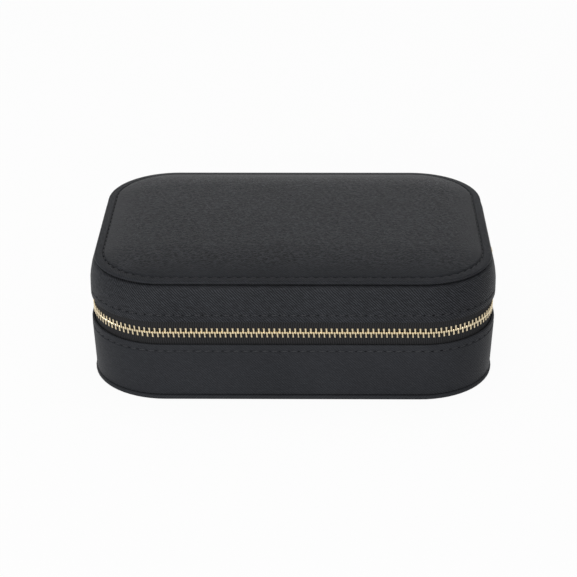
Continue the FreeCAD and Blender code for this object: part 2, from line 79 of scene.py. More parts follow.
# The case's outline, from the frame
base_low, base_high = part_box("base_wall_leather")
lid_low, lid_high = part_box("lid_wall_leather")
top_low, top_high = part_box("lid_top_leather")
HALF_X = base_high.x
HALF_Y = base_high.y
CORNER = 32.0 * MM
STRAIGHT_X = HALF_X - CORNER
STRAIGHT_Y = HALF_Y - CORNER
BASE_LOW = base_low.z
BASE_TOP = base_high.z
LID_EDGE = lid_low.z
LID_TOP = lid_high.z
ZIP_MID = (BASE_TOP + LID_EDGE) / 2

# How finely the outline is divided
BACK_STEPS = 8
SIDE_STEPS = 8
CORNER_STEPS = 16
ROUND_CUTS = 4
SHARP_ANGLE = math.radians(38)
TINY = 0.001 * MM
HAIR = 0.01 * MM
NEAR = 0.1 * MM

# Leather walls
LEATHER = 1.2 * MM
WALL_BACK = 1.9 * MM
WALL_TAPER = 0.9 * MM
LID_LEAN = 1.9 * MM
LID_INNER_LEAN = 4.1 * MM
SEAM_ALLOWANCE = 4.7 * MM
EDGE_ROUND = 0.55 * MM
BASE_SEAM = BASE_TOP - 3.0 * MM
LID_SEAM = LID_EDGE + 3.2 * MM
SEAM_DEPTH = 0.45 * MM
SEAM_WIDTH = 0.55 * MM
SEAM_ROUND = 0.2 * MM
FOOT_ROUND = 0.25 * MM
LID_ROUND = 1.1 * MM
RIM_GAP = 0.4 * MM
PANEL_INSET = 0.1 * MM
PANEL_ROUND = 0.8 * MM
PANEL_TUCK = 0.45 * MM
PANEL_FLAT = 2 * MM
HINGE_BULGE = 0.6 * MM
HINGE_SHAVE = 0.7 * MM
HINGE_HOLD = 0.6 * MM
HINGE_CUTS = 28

# Padded top
RIM = HALF_X - top_high.x
RIM_THICKNESS = 1.3 * MM
GROOVE = 5.95 * MM
GROOVE_DEPTH = 0.6 * MM
RIM_RISE = 0.35 * MM
RIM_ROUND = 0.45 * RIM_THICKNESS
LIP_WIDTH = 0.55 * MM
LIP_ROUND = 0.3 * MM
GROOVE_ROUND = 0.12 * MM
SHOULDER_RUN = 2.8 * MM
SHOULDER_RISE = 1.6 * MM
SHOULDER_ROUND = 0.35 * MM
DOME_REACH = 30.0 * MM
DOME_STEPS = (0.12, 0.27, 0.45, 0.64, 0.82, 1.0)
PAD_FULLNESS = 2.2
SIDE_FALL = 0.3
END_FALL = 0.45
BOARD_EDGE = 4.1 * MM
UNDERSIDE = 0.9 * MM

# Stitches
STITCH_LIFT = 0.15 * MM
STITCH_SLANT = math.radians(5)
BEAD_AROUND = 8
BEAD_ALONG = 6

# Leather grain
DIAGONAL = 0.7071
CROSSING = 1.3
CALM_REACH = 15 * MM
CALM_SHARE = 0.15
WRINKLE_MEAN = 0.4
GRAIN_DEPTH = 0.13 * MM

# Zip
TAPE_OUT = 1.3 * MM
TAPE_IN = 1.9 * MM
CHAIN_INSET = (TAPE_OUT + TAPE_IN) / 2
CORD_BULGE = 0.2 * MM
CORD_WIDTH = 1.3 * MM
CORD_SLOPE = 0.3 * MM
CORD_ROUND = 0.4 * MM
CORD_CREASE = 0.15 * MM
TAPE_CREASE = 0.2 * MM
TAPE_EDGE = 0.75 * MM
TAPE_END = 0.2 * MM
REAR_SHIFT = 0.3 * MM
TOOTH_PITCH = 2.12 * MM
TOOTH_LEG = 2.05 * MM
TOOTH_HEAD = 0.48 * MM
TOOTH_THICKNESS = 1.7 * MM
TOOTH_LEAN = 0.09
TOOTH_ROUND = 0.16 * MM
TOOTH_GAP = 0.06 * MM
FIRST_TOOTH = 0.45 * MM
CHAIN_END = 0.5 * MM
SLIDER_PLATE = 0.95 * MM
SLIDER_OVERLAP = 0.1 * MM
PLATE_ROUND = 0.28 * MM
FLANGE_HALF = 0.5 * MM
FLANGE_SHARE = 0.32
FLANGE_INSET = 0.75 * MM
FLANGE_ROUND = 0.12 * MM
RIDGE_CLEAR = 0.1 * MM
RIDGE_ROUND = 0.06 * MM
HINGE_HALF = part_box("hinge_strip")[1].x

# Lining and lid pocket
CLOTH = 0.8 * MM
CLOTH_LIP = 2.0 * MM
CLOTH_INNER = 4.9 * MM
CLOTH_LEAN = 1.9 * MM
LIP_FOLD = 0.4 * MM
CLOTH_FOLD = 0.7 * MM
DIVIDER_ROUND = 1.1 * MM
POCKET_STEPS = 150
POCKET_ROWS = 18
POCKET_CLOTH = 0.35 * MM
POCKET_SEAM = 7 * MM
POCKET_CLEAR = 0.3 * MM
POCKET_LEAST = 0.15 * MM
POCKET_MOUTH = 2.7 * MM
POCKET_BELLY = 1.9 * MM
POCKET_FALL = 2.2 * MM
BELLY_TURN = 1.15
GATHER_DEPTH = 0.55 * MM
GATHER_FADE = 0.75
HEM_FILL = 0.85
HEM_RIPPLE = 0.13
PLEAT_TURN = 1.15
PLEAT_DRIFT = 1.3
DRIFT_TURN = 0.21

# Ring rolls
ROLL_TOP = 0.46
ROLL_END = 1.2 * MM
ROLL_SMOOTH = 0.4
ROLL_PRESSURE = 4.0
ROLL_SLACK = 0.94
ROLL_MESH = 1.1 * MM
ROLL_SWELL = 0.55 * MM
ROLL_HELD = 0.8 * MM
FILL_STEPS = 20

# Necklace tabs
STRIP_CORNER = 1.0 * MM
STRIP_ROUND = 0.25 * MM
TAB_HALF = 5.5 * MM
TAB_LENGTH = 25.0 * MM
TAB_THICKNESS = 1.2 * MM
TAB_LEAN = math.radians(-5)
TAB_ROUND = 0.3 * MM
STUD_PLACE = TAB_LENGTH - 5.0 * MM
STUD_HEIGHT = 1.0 * MM
STUD_ROUND = 0.3 * MM

# Stage
FLOOR_HALF = 4.0
FLOOR_GLOW = 0.95
AMBIENT = 0.3
LAMP_AIM = (0, 0, 0.03)


def clamp(value, limit):
    return max(-limit, min(limit, value))


def inset_at(x, y):
    """How far inside the outer line a place lies, up to the corner radius."""
    return CORNER - math.hypot(x - clamp(x, STRAIGHT_X), y - clamp(y, STRAIGHT_Y))


def eased(share):
    share = max(0.0, min(1.0, share))
    return share * share * (3 - 2 * share)


def beside(inset, distance):
    """Placement on the line at an inset, from the rear of the right side forwards: x along, y outwards."""
    radius = CORNER - inset
    angle = 0.0
    legs = [2 * STRAIGHT_Y, 2 * STRAIGHT_X] * 2
    for leg, (side_x, side_y) in zip(legs, [(1, -1), (-1, -1), (-1, 1), (1, 1)]):
        centre = Vector((side_x * STRAIGHT_X, side_y * STRAIGHT_Y, 0))
        if distance <= leg + radius * QUARTER:
            break
        distance -= leg + radius * QUARTER
        angle -= QUARTER
    turn = max(0.0, distance - leg) / radius
    angle -= turn
    outwards = Vector((math.cos(angle), math.sin(angle), 0))
    along = Vector((math.sin(angle), -math.cos(angle), 0))
    spot = centre + outwards * radius - along * max(0.0, leg - distance)
    return Matrix.Translation(spot) @ Matrix.Rotation(angle - QUARTER, 4, "Z")


def line_length(inset):
    return 4 * (STRAIGHT_X + STRAIGHT_Y) + 2 * math.pi * (CORNER - inset)


# Mesh helpers


def soften(bm, geom, affect, width, cuts):
    """Rounds corners of a wire, or edges of a solid."""
    bmesh.ops.bevel(bm, geom=geom, affect=affect, offset=width, offset_type="OFFSET", segments=cuts,
                    profile=0.5, material=-1, clamp_overlap=True)


def round_edges(bm, edges, width, cuts=2):
    soften(bm, edges, "EDGES", width, cuts)


def draw_outline(bm, outline, closed, place):
    """Wire through (offset, height) points; a third number rounds that corner."""
    verts = [bm.verts.new(place(point)) for point in outline]
    ends = verts[1:] + verts[:1] if closed else verts[1:]
    for first, second in zip(verts, ends):
        bm.edges.new((first, second))
    for vert, point in zip(verts, outline):
        if len(point) > 2:
            soften(bm, [vert], "VERTICES", point[2], ROUND_CUTS)
    return verts[0]


def write_lengths(first, layer):
    """Writes the length along a wire on its points, from its first one."""
    here = first
    length = 0.0
    came = None
    while here is not None:
        here[layer] = length
        onward = [e for e in here.link_edges if e is not came and e.other_vert(here)[layer] < 0]
        came = onward[0] if onward else None
        length += came.calc_length() if came else 0.0
        here = came.other_vert(here) if came else None


def only(geom, kind):
    return [item for item in geom if isinstance(item, kind)]


def run_of(edge, axis):
    """How far an edge runs along an axis."""
    return abs(edge.verts[0].co[axis] - edge.verts[1].co[axis])


def push_on(bm, edges, layer, travelled, matrix):
    """Extrudes a wire by a matrix and notes how far it has come."""
    made = bmesh.ops.extrude_edge_only(bm, edges=edges)["geom"]
    verts = only(made, bmesh.types.BMVert)
    bmesh.ops.transform(bm, matrix=matrix, verts=verts)
    for vert in verts:
        vert[layer] = travelled
    return only(made, bmesh.types.BMEdge)


def carry_round(bm, outline, closed=True, gap=0.0):
    """Carries an outline of (inward offset, height) round the case, counter-clockwise from the back."""
    walk = bm.verts.layers.float.new("walk")
    reach = bm.verts.layers.float.new("reach")
    first = draw_outline(bm, outline, closed, lambda point: (-gap, HALF_Y - point[0], point[1]))
    for vert in bm.verts:
        vert[reach] = -1.0
    write_lengths(first, reach)
    back = Vector((gap - STRAIGHT_X, 0, 0))
    side = Vector((0, 2 * STRAIGHT_Y, 0))
    front = Vector((2 * STRAIGHT_X, 0, 0))
    legs = [
        (back, BACK_STEPS, (-STRAIGHT_X, STRAIGHT_Y)),
        (-side, SIDE_STEPS, (-STRAIGHT_X, -STRAIGHT_Y)),
        (front, 2 * BACK_STEPS, (STRAIGHT_X, -STRAIGHT_Y)),
        (side, SIDE_STEPS, (STRAIGHT_X, STRAIGHT_Y)),
        (back, BACK_STEPS, None),
    ]
    edges = bm.edges[:]
    travelled = 0.0
    for move, steps, corner in legs:
        for _ in range(steps):
            travelled += move.length / steps
            edges = push_on(bm, edges, walk, travelled, Matrix.Translation(move / steps))
        if corner:
            centre = Matrix.Translation((*corner, 0))
            turn = centre @ Matrix.Rotation(QUARTER / CORNER_STEPS, 4, "Z") @ centre.inverted()
            for _ in range(CORNER_STEPS):
                travelled += CORNER * QUARTER / CORNER_STEPS
                edges = push_on(bm, edges, walk, travelled, turn)
    grain = bm.loops.layers.uv.new(GRAIN)
    for face in bm.faces:
        for loop in face.loops:
            loop[grain].uv = (loop.vert[walk], loop.vert[reach])
    drop_layer(bm, "walk")
    drop_layer(bm, "reach")
    merge(bm)
    if gap:
        close_ends(bm)


def drop_layer(bm, name):
    bm.verts.layers.float.remove(bm.verts.layers.float[name])


def close_ends(bm):
    bmesh.ops.holes_fill(bm, edges=[e for e in bm.edges if e.is_boundary], sides=0)


def merge(bm):
    bmesh.ops.remove_doubles(bm, verts=bm.verts[:], dist=TINY)
    bmesh.ops.dissolve_degenerate(bm, dist=TINY, edges=bm.edges[:])


def fill_middle(bm, height):
    """Closes a plate whose outline was carried in to the corner centres."""
    place = Matrix.Translation((0, 0, height)) @ Matrix.Diagonal((STRAIGHT_X, STRAIGHT_Y, 1, 1))
    bmesh.ops.create_grid(bm, x_segments=2 * BACK_STEPS, y_segments=SIDE_STEPS, size=1, matrix=place)


def lay_flat_grain(bm, inside):
    """Lets the grain lie flat on what is further in than an inset."""
    grain = bm.loops.layers.uv[GRAIN]
    for face in bm.faces:
        if all(inset_at(v.co.x, v.co.y) > inside for v in face.verts):
            for loop in face.loops:
                loop[grain].uv = loop.vert.co.xy


def lay_grain(bm, first, second):
    """Gives a small piece a grain that lies flat along two axes."""
    grain = bm.loops.layers.uv.new(GRAIN)
    for face in bm.faces:
        for loop in face.loops:
            loop[grain].uv = (loop.vert.co[first], loop.vert.co[second])


def plate(outline):
    """Closed plate whose outline runs from the middle out, over the edge and back to the middle."""
    bm = bmesh.new()
    carry_round(bm, outline, closed=False)
    for height in (outline[0][1], outline[-1][1]):
        fill_middle(bm, height)
    merge(bm)
    return bm


def band(outline, gap=0.0):
    bm = bmesh.new()
    carry_round(bm, outline, gap=gap)
    return bm


def to_mesh(bm, name):
    """Mesh of a finished shape, whose bmesh is given up."""
    mesh = bpy.data.meshes.new(name)
    bm.to_mesh(mesh)
    bm.free()
    return mesh


def to_object(data, name):
    made = bpy.data.objects.new(name, data)
    bpy.context.scene.collection.objects.link(made)
    return made


def add_part(bm, part):
    """Moves a finished part into a piece made of several."""
    mesh = to_mesh(part, "part")
    bm.from_mesh(mesh)
    bpy.data.meshes.remove(mesh)


def add_copy(bm, mesh, place):
    """Adds one copy of a small part at its place."""
    kept = len(bm.verts)
    bm.from_mesh(mesh)
    bm.verts.ensure_lookup_table()
    bmesh.ops.transform(bm, matrix=place, verts=bm.verts[kept:])


def slab(outline, thickness, edge, place, cuts=2):
    """Plate of (x, y) points with softened edges; a third number rounds that corner."""
    part = bmesh.new()
    draw_outline(part, outline, True, lambda point: (point[0], point[1], 0))
    bmesh.ops.contextual_create(part, geom=part.edges[:])
    made = bmesh.ops.extrude_face_region(part, geom=part.faces[:])["geom"]
    bmesh.ops.translate(part, verts=only(made, bmesh.types.BMVert), vec=(0, 0, thickness))
    bmesh.ops.recalc_face_normals(part, faces=part.faces[:])
    rims = [e for e in part.edges if run_of(e, 2) < 0.5 * thickness]
    round_edges(part, rims, edge, cuts)
    bmesh.ops.transform(part, matrix=place, verts=part.verts[:])
    return part


def block(centre, size):
    bm = bmesh.new()
    place = Matrix.Translation(centre) @ Matrix.Diagonal((*size, 1))
    bmesh.ops.create_cube(bm, size=1.0, matrix=place)
    return bm


def turned_ring(outline, axis, steps):
    """Ring of (radius, height) points turned round an axis through the origin."""
    ring = bmesh.new()
    draw_outline(ring, outline, True, lambda point: Vector((point[0], 0, 0)) + axis * point[1])
    bmesh.ops.spin(ring, geom=ring.verts[:] + ring.edges[:], cent=(0, 0, 0), axis=axis, dvec=(0, 0, 0),
                   angle=2 * math.pi, steps=steps, use_merge=True, use_duplicate=False)
    return ring


def settle(bm, name, body, finish, replaced=()):
    """Turns a mesh into a piece with its finish, on the body that carries it."""
    bmesh.ops.recalc_face_normals(bm, faces=bm.faces[:])
    for face in bm.faces:
        face.smooth = True
    for edge in bm.edges:
        edge.smooth = not edge.is_manifold or edge.calc_face_angle() < SHARP_ANGLE
    piece = to_object(to_mesh(bm, name), name)
    piece.data.materials.append(finish_of(finish))
    if replaced:
        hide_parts(*replaced)
    if body:
        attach(piece, body)
    return piece


# Shader helpers


class Value:
    """An output socket that takes part in shader maths."""

    def __init__(self, owner, socket):
        self.owner = owner
        self.socket = socket

    def math(self, operation, first, second=0.0):
        return self.owner.node("ShaderNodeMath", {"operation": operation}, {0: first, 1: second})

    def __add__(self, other):
        return self.math("ADD", self, other)

    __radd__ = __add__

    def __sub__(self, other):
        return self.math("SUBTRACT", self, other)

    def __rsub__(self, other):
        return self.math("SUBTRACT", other, self)

    def __mul__(self, other):
        return self.math("MULTIPLY", self, other)

    __rmul__ = __mul__

    def sine(self):
        return self.math("SINE", self)

    def size(self):
        return self.math("ABSOLUTE", self)

    def lesser(self, other):
        return self.math("MINIMUM", self, other)


class Nodes:
    """A node tree whose nodes are added by type, settings and inputs."""

    def __init__(self, tree):
        self.tree = tree

    def node(self, kind, settings=None, inputs=None, output=0):
        made = self.tree.nodes.new(kind)
        for name, value in (settings or {}).items():
            setattr(made, name, value)
        for name, value in (inputs or {}).items():
            self.link(made.inputs[name], value)
        return Value(self, made.outputs[output])

    def link(self, socket, value):
        if isinstance(value, Value):
            self.tree.links.new(value.socket, socket)
        else:
            socket.default_value = value


class Finish(Nodes):
    """A material of one main shader."""

    def __init__(self, name, **constants):
        self.material = bpy.data.materials.new(name)
        self.material.use_nodes = True
        super().__init__(self.material.node_tree)
        self.shader = self.tree.nodes["Principled BSDF"]
        self.feed(**constants)

    def feed(self, **sockets):
        for name, value in sockets.items():
            self.link(self.shader.inputs[name.replace("_", " ")], value)

    def place(self, uv=False):
        """Place on the surface in millimetres."""
        if uv:
            spot = self.node("ShaderNodeUVMap", {"uv_map": GRAIN})
        else:
            spot = self.node("ShaderNodeTexCoord", output="Object")
        return self.node("ShaderNodeVectorMath", {"operation": "SCALE"}, {0: spot, "Scale": 1 / MM})

    def split(self, spot):
        """The first two numbers of a place."""
        return [self.node("ShaderNodeSeparateXYZ", {}, {0: spot}, output=index) for index in (0, 1)]

    def spread(self, share, start, end, low, high, **settings):
        """A share that runs from low to high between two values."""
        return self.node("ShaderNodeMapRange", settings, {0: share, 1: start, 2: end, 3: low, 4: high})

    def stretch(self, spot, scale, turn=0.0):
        turned = (0, 0, math.radians(turn))
        return self.node("ShaderNodeMapping", {}, {"Vector": spot, "Scale": scale, "Rotation": turned})

    def noise(self, spot, scale, detail=3.0):
        return self.node("ShaderNodeTexNoise", {}, {"Vector": spot, "Scale": scale, "Detail": detail})

    def dye(self, share, colour, dark, light):
        """Base colour between two parts of a colour; 6, 7 and 2 are the mix node's colour sockets."""
        low, high = [(*[channel * part for channel in colour], 1) for part in (dark, light)]
        mixed = self.node("ShaderNodeMix", {"data_type": "RGBA"}, {0: share, 6: low, 7: high}, output=2)
        self.feed(Base_Color=mixed)

    def relief(self, height, depth, strength=1.0):
        bump = self.node("ShaderNodeBump", {}, {"Height": height, "Distance": depth, "Strength": strength})
        self.feed(Normal=bump)


# Finishes


def grained_leather(name, hatch, crinkle, gloss=1.0, taut=False):
    """Cross-grained leather: pressed diagonal lines, a fainter crossing set, and crinkles.

    Taut leather lies calm near the groove of the padded top.
    """
    looks = bpy.context.scene.case_looks
    finish = Finish(name, Specular_IOR_Level=looks.leather_gloss * gloss)
    spot = finish.place(uv=True)
    u, v = finish.split(spot)
    wobble = finish.noise(spot, 0.45, 3.0)
    breaks = finish.noise(finish.stretch(spot, (0.4, 1.4, 1.0), 45), 0.8, 2.0)
    patchy = finish.spread(breaks, 0.3, 0.7, 0.4, 1.0)
    turn = 2 * math.pi / (looks.grain_pitch / MM)
    ridges = ((u + v) * (DIAGONAL * turn) + wobble * 7.0).sine() * 0.5 + 0.5
    crossing = ((u - v) * (DIAGONAL * turn * CROSSING) + wobble * 4.0).sine() * 0.5 + 0.5
    streaks = finish.noise(finish.stretch(spot, (0.4, 1.0, 1.0), -8), 0.8, 3.0)
    crests = finish.spread((streaks - 0.5).size(), 0.0, 0.07, 1.0, 0.0)
    creases = finish.noise(finish.stretch(spot, (0.5, 1.0, 1.0), 12), 1.9, 3.0)
    wrinkles = crests * 0.6 + (creases - 0.5) * 1.6 + 0.3
    if taut:
        inset = (HALF_X / MM - u.size()).lesser(HALF_Y / MM - v.size())
        calm = finish.spread(inset, GROOVE / MM, (GROOVE + CALM_REACH) / MM, CALM_SHARE, 1.0,
                             interpolation_type="SMOOTHSTEP")
        wrinkles = (wrinkles - WRINKLE_MEAN) * calm + WRINKLE_MEAN
    pores = finish.noise(spot, 4.0, 2.0)
    lines = ridges * patchy * 1.25 + crossing * 0.12
    cloud = finish.noise(spot, 0.03, 3.0)
    change = ((lines - 0.5) * (1.4 * hatch) + (wrinkles - 0.5) * (0.8 * crinkle)
              + (pores - 0.5) * 0.55 + (cloud - 0.5) * 0.5)
    finish.dye(change * 0.5 + 0.5, looks.leather, 0.0, 2.0)
    finish.feed(Roughness=0.52 - lines * (0.12 * hatch) - wrinkles * (0.08 * crinkle))
    finish.relief(lines * hatch + wrinkles * crinkle + pores * 0.2, GRAIN_DEPTH)
    return finish.material


def lid_leather():
    return grained_leather("lid_leather", hatch=1.0, crinkle=0.15)


def wall_leather():
    return grained_leather("wall_leather", hatch=0.36, crinkle=0.2)


def top_leather():
    return grained_leather("top_leather", hatch=0.2, crinkle=1.8, taut=True)


def rim_leather():
    return grained_leather("rim_leather", hatch=0.5, crinkle=0.3, gloss=0.65)


def waxed_thread():
    finish = Finish("waxed_thread", Specular_IOR_Level=0.3)
    fibres = finish.noise(finish.stretch(finish.place(), (2.0, 2.0, 9.0)), 2.0)
    finish.dye(fibres, bpy.context.scene.case_looks.thread, 0.6, 1.7)
    finish.feed(Roughness=0.42 + fibres * 0.2)
    finish.relief(fibres, 0.08 * MM)
    return finish.material


def painted_hole_shade():
    """Painted shade: a near-black colour that stands in for the shade inside a needle hole."""
    finish = Finish("painted_hole_shade", Specular_IOR_Level=0.0, Roughness=0.9)
    edge = finish.noise(finish.place(), 2.0)
    finish.dye(edge, (1, 1, 1), 0.001, 0.004)
    return finish.material


def woven_tape():
    """Zip tape: slanting ribs across the weave, with a plain selvedge."""
    finish = Finish("woven_tape", Specular_IOR_Level=0.2)
    spot = finish.place(uv=True)
    u, v = finish.split(spot)
    slant = (v * (2 * math.pi / 3.2)).sine() * 0.8
    ribs = (u * (2 * math.pi / 0.95) + slant).sine() * 0.5 + 0.5
    picks = (v * (2 * math.pi / 0.42)).sine() * 0.5 + 0.5
    fibres = finish.noise(spot, 6.0)
    height = ribs * 0.7 + picks * 0.35 + fibres * 0.3
    finish.dye(height * 0.7, bpy.context.scene.case_looks.tape, 0.0, 2.4)
    finish.feed(Roughness=0.9 - fibres * 0.15)
    finish.relief(height, 0.12 * MM)
    return finish.material


def pale_gold():
    """Plated metal with faint polishing marks and a little wear."""
    finish = Finish("pale_gold", Metallic=1.0)
    spot = finish.place()
    marks = finish.noise(finish.stretch(spot, (1.0, 1.0, 0.12)), 7.0)
    wear = finish.noise(spot, 0.7, 4.0)
    finish.dye(wear, bpy.context.scene.case_looks.metal, 0.82, 1.12)
    finish.feed(Roughness=0.2 + marks * 0.16)
    finish.relief(marks, 0.01 * MM, 0.6)
    return finish.material


def brushed_lining():
    """Short brushed pile with soft marks where it was stroked."""
    finish = Finish("brushed_lining", Specular_IOR_Level=0.15, Sheen_Weight=0.35, Sheen_Roughness=0.5)
    spot = finish.place()
    pile = finish.noise(spot, 3.2, 5.0)
    strokes = finish.noise(finish.stretch(spot, (0.04, 0.09, 0.06)), 1.0, 4.0)
    finish.dye(pile * 0.55 + strokes * 0.5, bpy.context.scene.case_looks.lining, 0.7, 1.25)
    finish.feed(Roughness=0.85 + pile * 0.12)
    finish.relief(pile, 0.1 * MM)
    return finish.material


def grey_board():
    finish = Finish("grey_board", Specular_IOR_Level=0.2)
    fibres = finish.noise(finish.stretch(finish.place(), (0.3, 0.8, 1.0)), 1.4, 5.0)
    finish.dye(fibres, bpy.context.scene.case_looks.board, 0.75, 1.2)
    finish.feed(Roughness=0.86 + fibres * 0.1)
    finish.relief(fibres, 0.06 * MM)
    return finish.material


FINISHES = {
    made.__name__: made
    for made in (lid_leather, wall_leather, top_leather, rim_leather, waxed_thread, painted_hole_shade, woven_tape,
                 pale_gold, brushed_lining, grey_board)
}


def finish_of(name):
    """The finish of that name, made when it is first asked for."""
    return bpy.data.materials.get(name) or FINISHES[name]()


def dress(node, finish):
    """Gives a frame node that stays its own finish."""
    mesh = frame["nodes"][node].data
    mesh.materials.clear()
    mesh.materials.append(finish_of(finish))


# Settings


class CaseLooks(bpy.types.PropertyGroup):
    """Sizes and colours that a user would change."""

    stitch_pitch: bpy.props.FloatProperty(
        name="Stitch pitch", description="Distance from one stitch to the next",
        default=3.9 * MM, min=1 * MM, precision=4, unit="LENGTH")
    stitch_length: bpy.props.FloatProperty(
        name="Stitch length", description="Length of thread that shows in one stitch",
        default=2.8 * MM, min=0.5 * MM, precision=4, unit="LENGTH")
    thread_width: bpy.props.FloatProperty(
        name="Thread width", description="Thickness of the sewing thread",
        default=0.5 * MM, min=0.1 * MM, precision=5, unit="LENGTH")
    tooth_width: bpy.props.FloatProperty(
        name="Tooth width", description="Width of one metal tooth along the zip",
        default=0.68 * MM, min=0.3 * MM, precision=5, unit="LENGTH")
    grain_pitch: bpy.props.FloatProperty(
        name="Grain pitch", description="Distance between the pressed lines of the leather",
        default=0.845 * MM, min=0.2 * MM, precision=5, unit="LENGTH")
    pad_rise: bpy.props.FloatProperty(
        name="Pad rise", description="How far the padded top swells above its stitched edge",
        default=4.0 * MM, min=0.0, precision=5, unit="LENGTH")
    leather_gloss: bpy.props.FloatProperty(
        name="Leather gloss", description="Strength of the leather's shine",
        default=0.05, min=0.0, max=1.0, subtype="FACTOR")
    leather: bpy.props.FloatVectorProperty(
        name="Leather", description="Colour of the leather", size=3, subtype="COLOR",
        default=(0.0245, 0.0258, 0.0292), min=0.0, max=1.0)
    thread: bpy.props.FloatVectorProperty(
        name="Thread", description="Colour of the sewing thread", size=3, subtype="COLOR",
        default=(0.022, 0.023, 0.026), min=0.0, max=1.0)
    tape: bpy.props.FloatVectorProperty(
        name="Zip tape", description="Colour of the woven tape", size=3, subtype="COLOR",
        default=(0.0122, 0.0123, 0.0132), min=0.0, max=1.0)
    metal: bpy.props.FloatVectorProperty(
        name="Metal", description="Colour of the plated teeth, slider and studs", size=3, subtype="COLOR",
        default=(0.73, 0.62, 0.42), min=0.0, max=1.0)
    lining: bpy.props.FloatVectorProperty(
        name="Lining", description="Colour of the soft lining", size=3, subtype="COLOR",
        default=(0.36, 0.31, 0.27), min=0.0, max=1.0)
    board: bpy.props.FloatVectorProperty(
        name="Board", description="Colour of the stiffening board", size=3, subtype="COLOR",
        default=(0.32, 0.28, 0.23), min=0.0, max=1.0)


# Leather shell


class PaddedTop(bpy.types.Operator):
    """Leather top over foam, with its rolled rim and stitched groove."""

    bl_idname = "jewel_case.padded_top"
    bl_label = "Padded Top"

    def execute(self, context):
        low = top_low.z
        rim_top = low + RIM_THICKNESS
        lip = rim_top + RIM_RISE
        shoulder = GROOVE + SHOULDER_RUN
        shoulder_z = lip - GROOVE_DEPTH + SHOULDER_RISE
        dome = [shoulder + share * (CORNER - shoulder) for share in DOME_STEPS]
        outline = [
            (CORNER, low + UNDERSIDE),
            (BOARD_EDGE, low + UNDERSIDE),
            (BOARD_EDGE, low),
            (RIM, low, RIM_ROUND),
            (RIM, rim_top, RIM_ROUND),
            (GROOVE - LIP_WIDTH, lip, LIP_ROUND),
            (GROOVE, lip - GROOVE_DEPTH, GROOVE_ROUND),
            (GROOVE + 0.2 * SHOULDER_RUN, shoulder_z - 0.38 * SHOULDER_RISE, SHOULDER_ROUND),
            (shoulder, shoulder_z),
            *[(offset, shoulder_z) for offset in dome],
        ]
        bm = plate(outline)
        rise = context.scene.case_looks.pad_rise
        for vert in bm.verts:
            x, y, z = vert.co
            if z > shoulder_z - HAIR:
                slope = max(0.0, 1 - (inset_at(x, y) - shoulder) / (DOME_REACH - shoulder))
                fall = (1 - SIDE_FALL * (x / HALF_X) ** 2) * (1 - END_FALL * (y / HALF_Y) ** 2)
                vert.co.z = shoulder_z + rise * (1 - slope ** PAD_FULLNESS) * fall
        lay_flat_grain(bm, GROOVE)
        covered = ("lid_top_leather", "lid_foam")
        piece = settle(bm, "padded_top", "lid", "top_leather", covered)
        piece.data.materials.append(finish_of("rim_leather"))
        for face in piece.data.polygons:
            face.material_index = int(inset_at(face.center.x, face.center.y) < GROOVE)
        return {"FINISHED"}


def seamed(height, upper):
    """Outline points of the shallow dip that a row of stitches pulls into a wall."""
    half = SEAM_WIDTH if upper else -SEAM_WIDTH
    return [(0.0, height + half), (SEAM_DEPTH, height, SEAM_ROUND), (0.0, height - half)]


class Walls(bpy.types.Operator):
    """Leather walls of the base and the lid, and the bottom panel."""

    bl_idname = "jewel_case.walls"
    bl_label = "Leather Walls"

    def execute(self, context):
        base = [
            (WALL_BACK, BASE_TOP - SEAM_ALLOWANCE),
            (WALL_BACK, BASE_LOW),
            (WALL_TAPER, BASE_LOW, FOOT_ROUND),
            *seamed(BASE_SEAM, upper=False),
            (0.0, BASE_TOP, EDGE_ROUND),
            (LEATHER, BASE_TOP, EDGE_ROUND),
            (LEATHER, BASE_TOP - SEAM_ALLOWANCE),
        ]
        settle(band(base), "base_wall", "base", "wall_leather", ("base_wall_leather",))
        foot = LID_EDGE + SEAM_ALLOWANCE
        rise = LID_TOP - foot
        radius = (rise ** 2 + LID_LEAN ** 2) / (2 * LID_LEAN)
        bulge = []
        for share in (0.75, 0.5, 0.25):
            bulge.append((radius - math.sqrt(radius ** 2 - (share * rise) ** 2), foot + share * rise))
        lid = [
            (LID_INNER_LEAN, LID_TOP - RIM_GAP),
            (LID_LEAN, LID_TOP - RIM_GAP, LID_ROUND),
            *bulge,
            *seamed(LID_SEAM, upper=True),
            (0.0, LID_EDGE, EDGE_ROUND),
            (LEATHER, LID_EDGE, EDGE_ROUND),
            (LEATHER, foot),
            (WALL_BACK, foot),
        ]
        settle(band(lid[::-1]), "lid_wall", "lid", "lid_leather", ("lid_wall_leather",))
        low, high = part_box("base_panel")
        edge = HALF_X - high.x + PANEL_INSET
        bottom = plate([
            (CORNER, high.z),
            (edge, high.z, PANEL_ROUND),
            (edge, low.z, PANEL_ROUND),
            (CORNER, low.z),
        ])
        tuck = Matrix.Diagonal((1 - PANEL_TUCK / HALF_X, 1, 1, 1))
        bmesh.ops.transform(bottom, matrix=tuck, verts=bottom.verts[:])
        lay_flat_grain(bottom, PANEL_FLAT)
        settle(bottom, "bottom_panel", "base", "wall_leather", ("base_panel",))
        return {"FINISHED"}


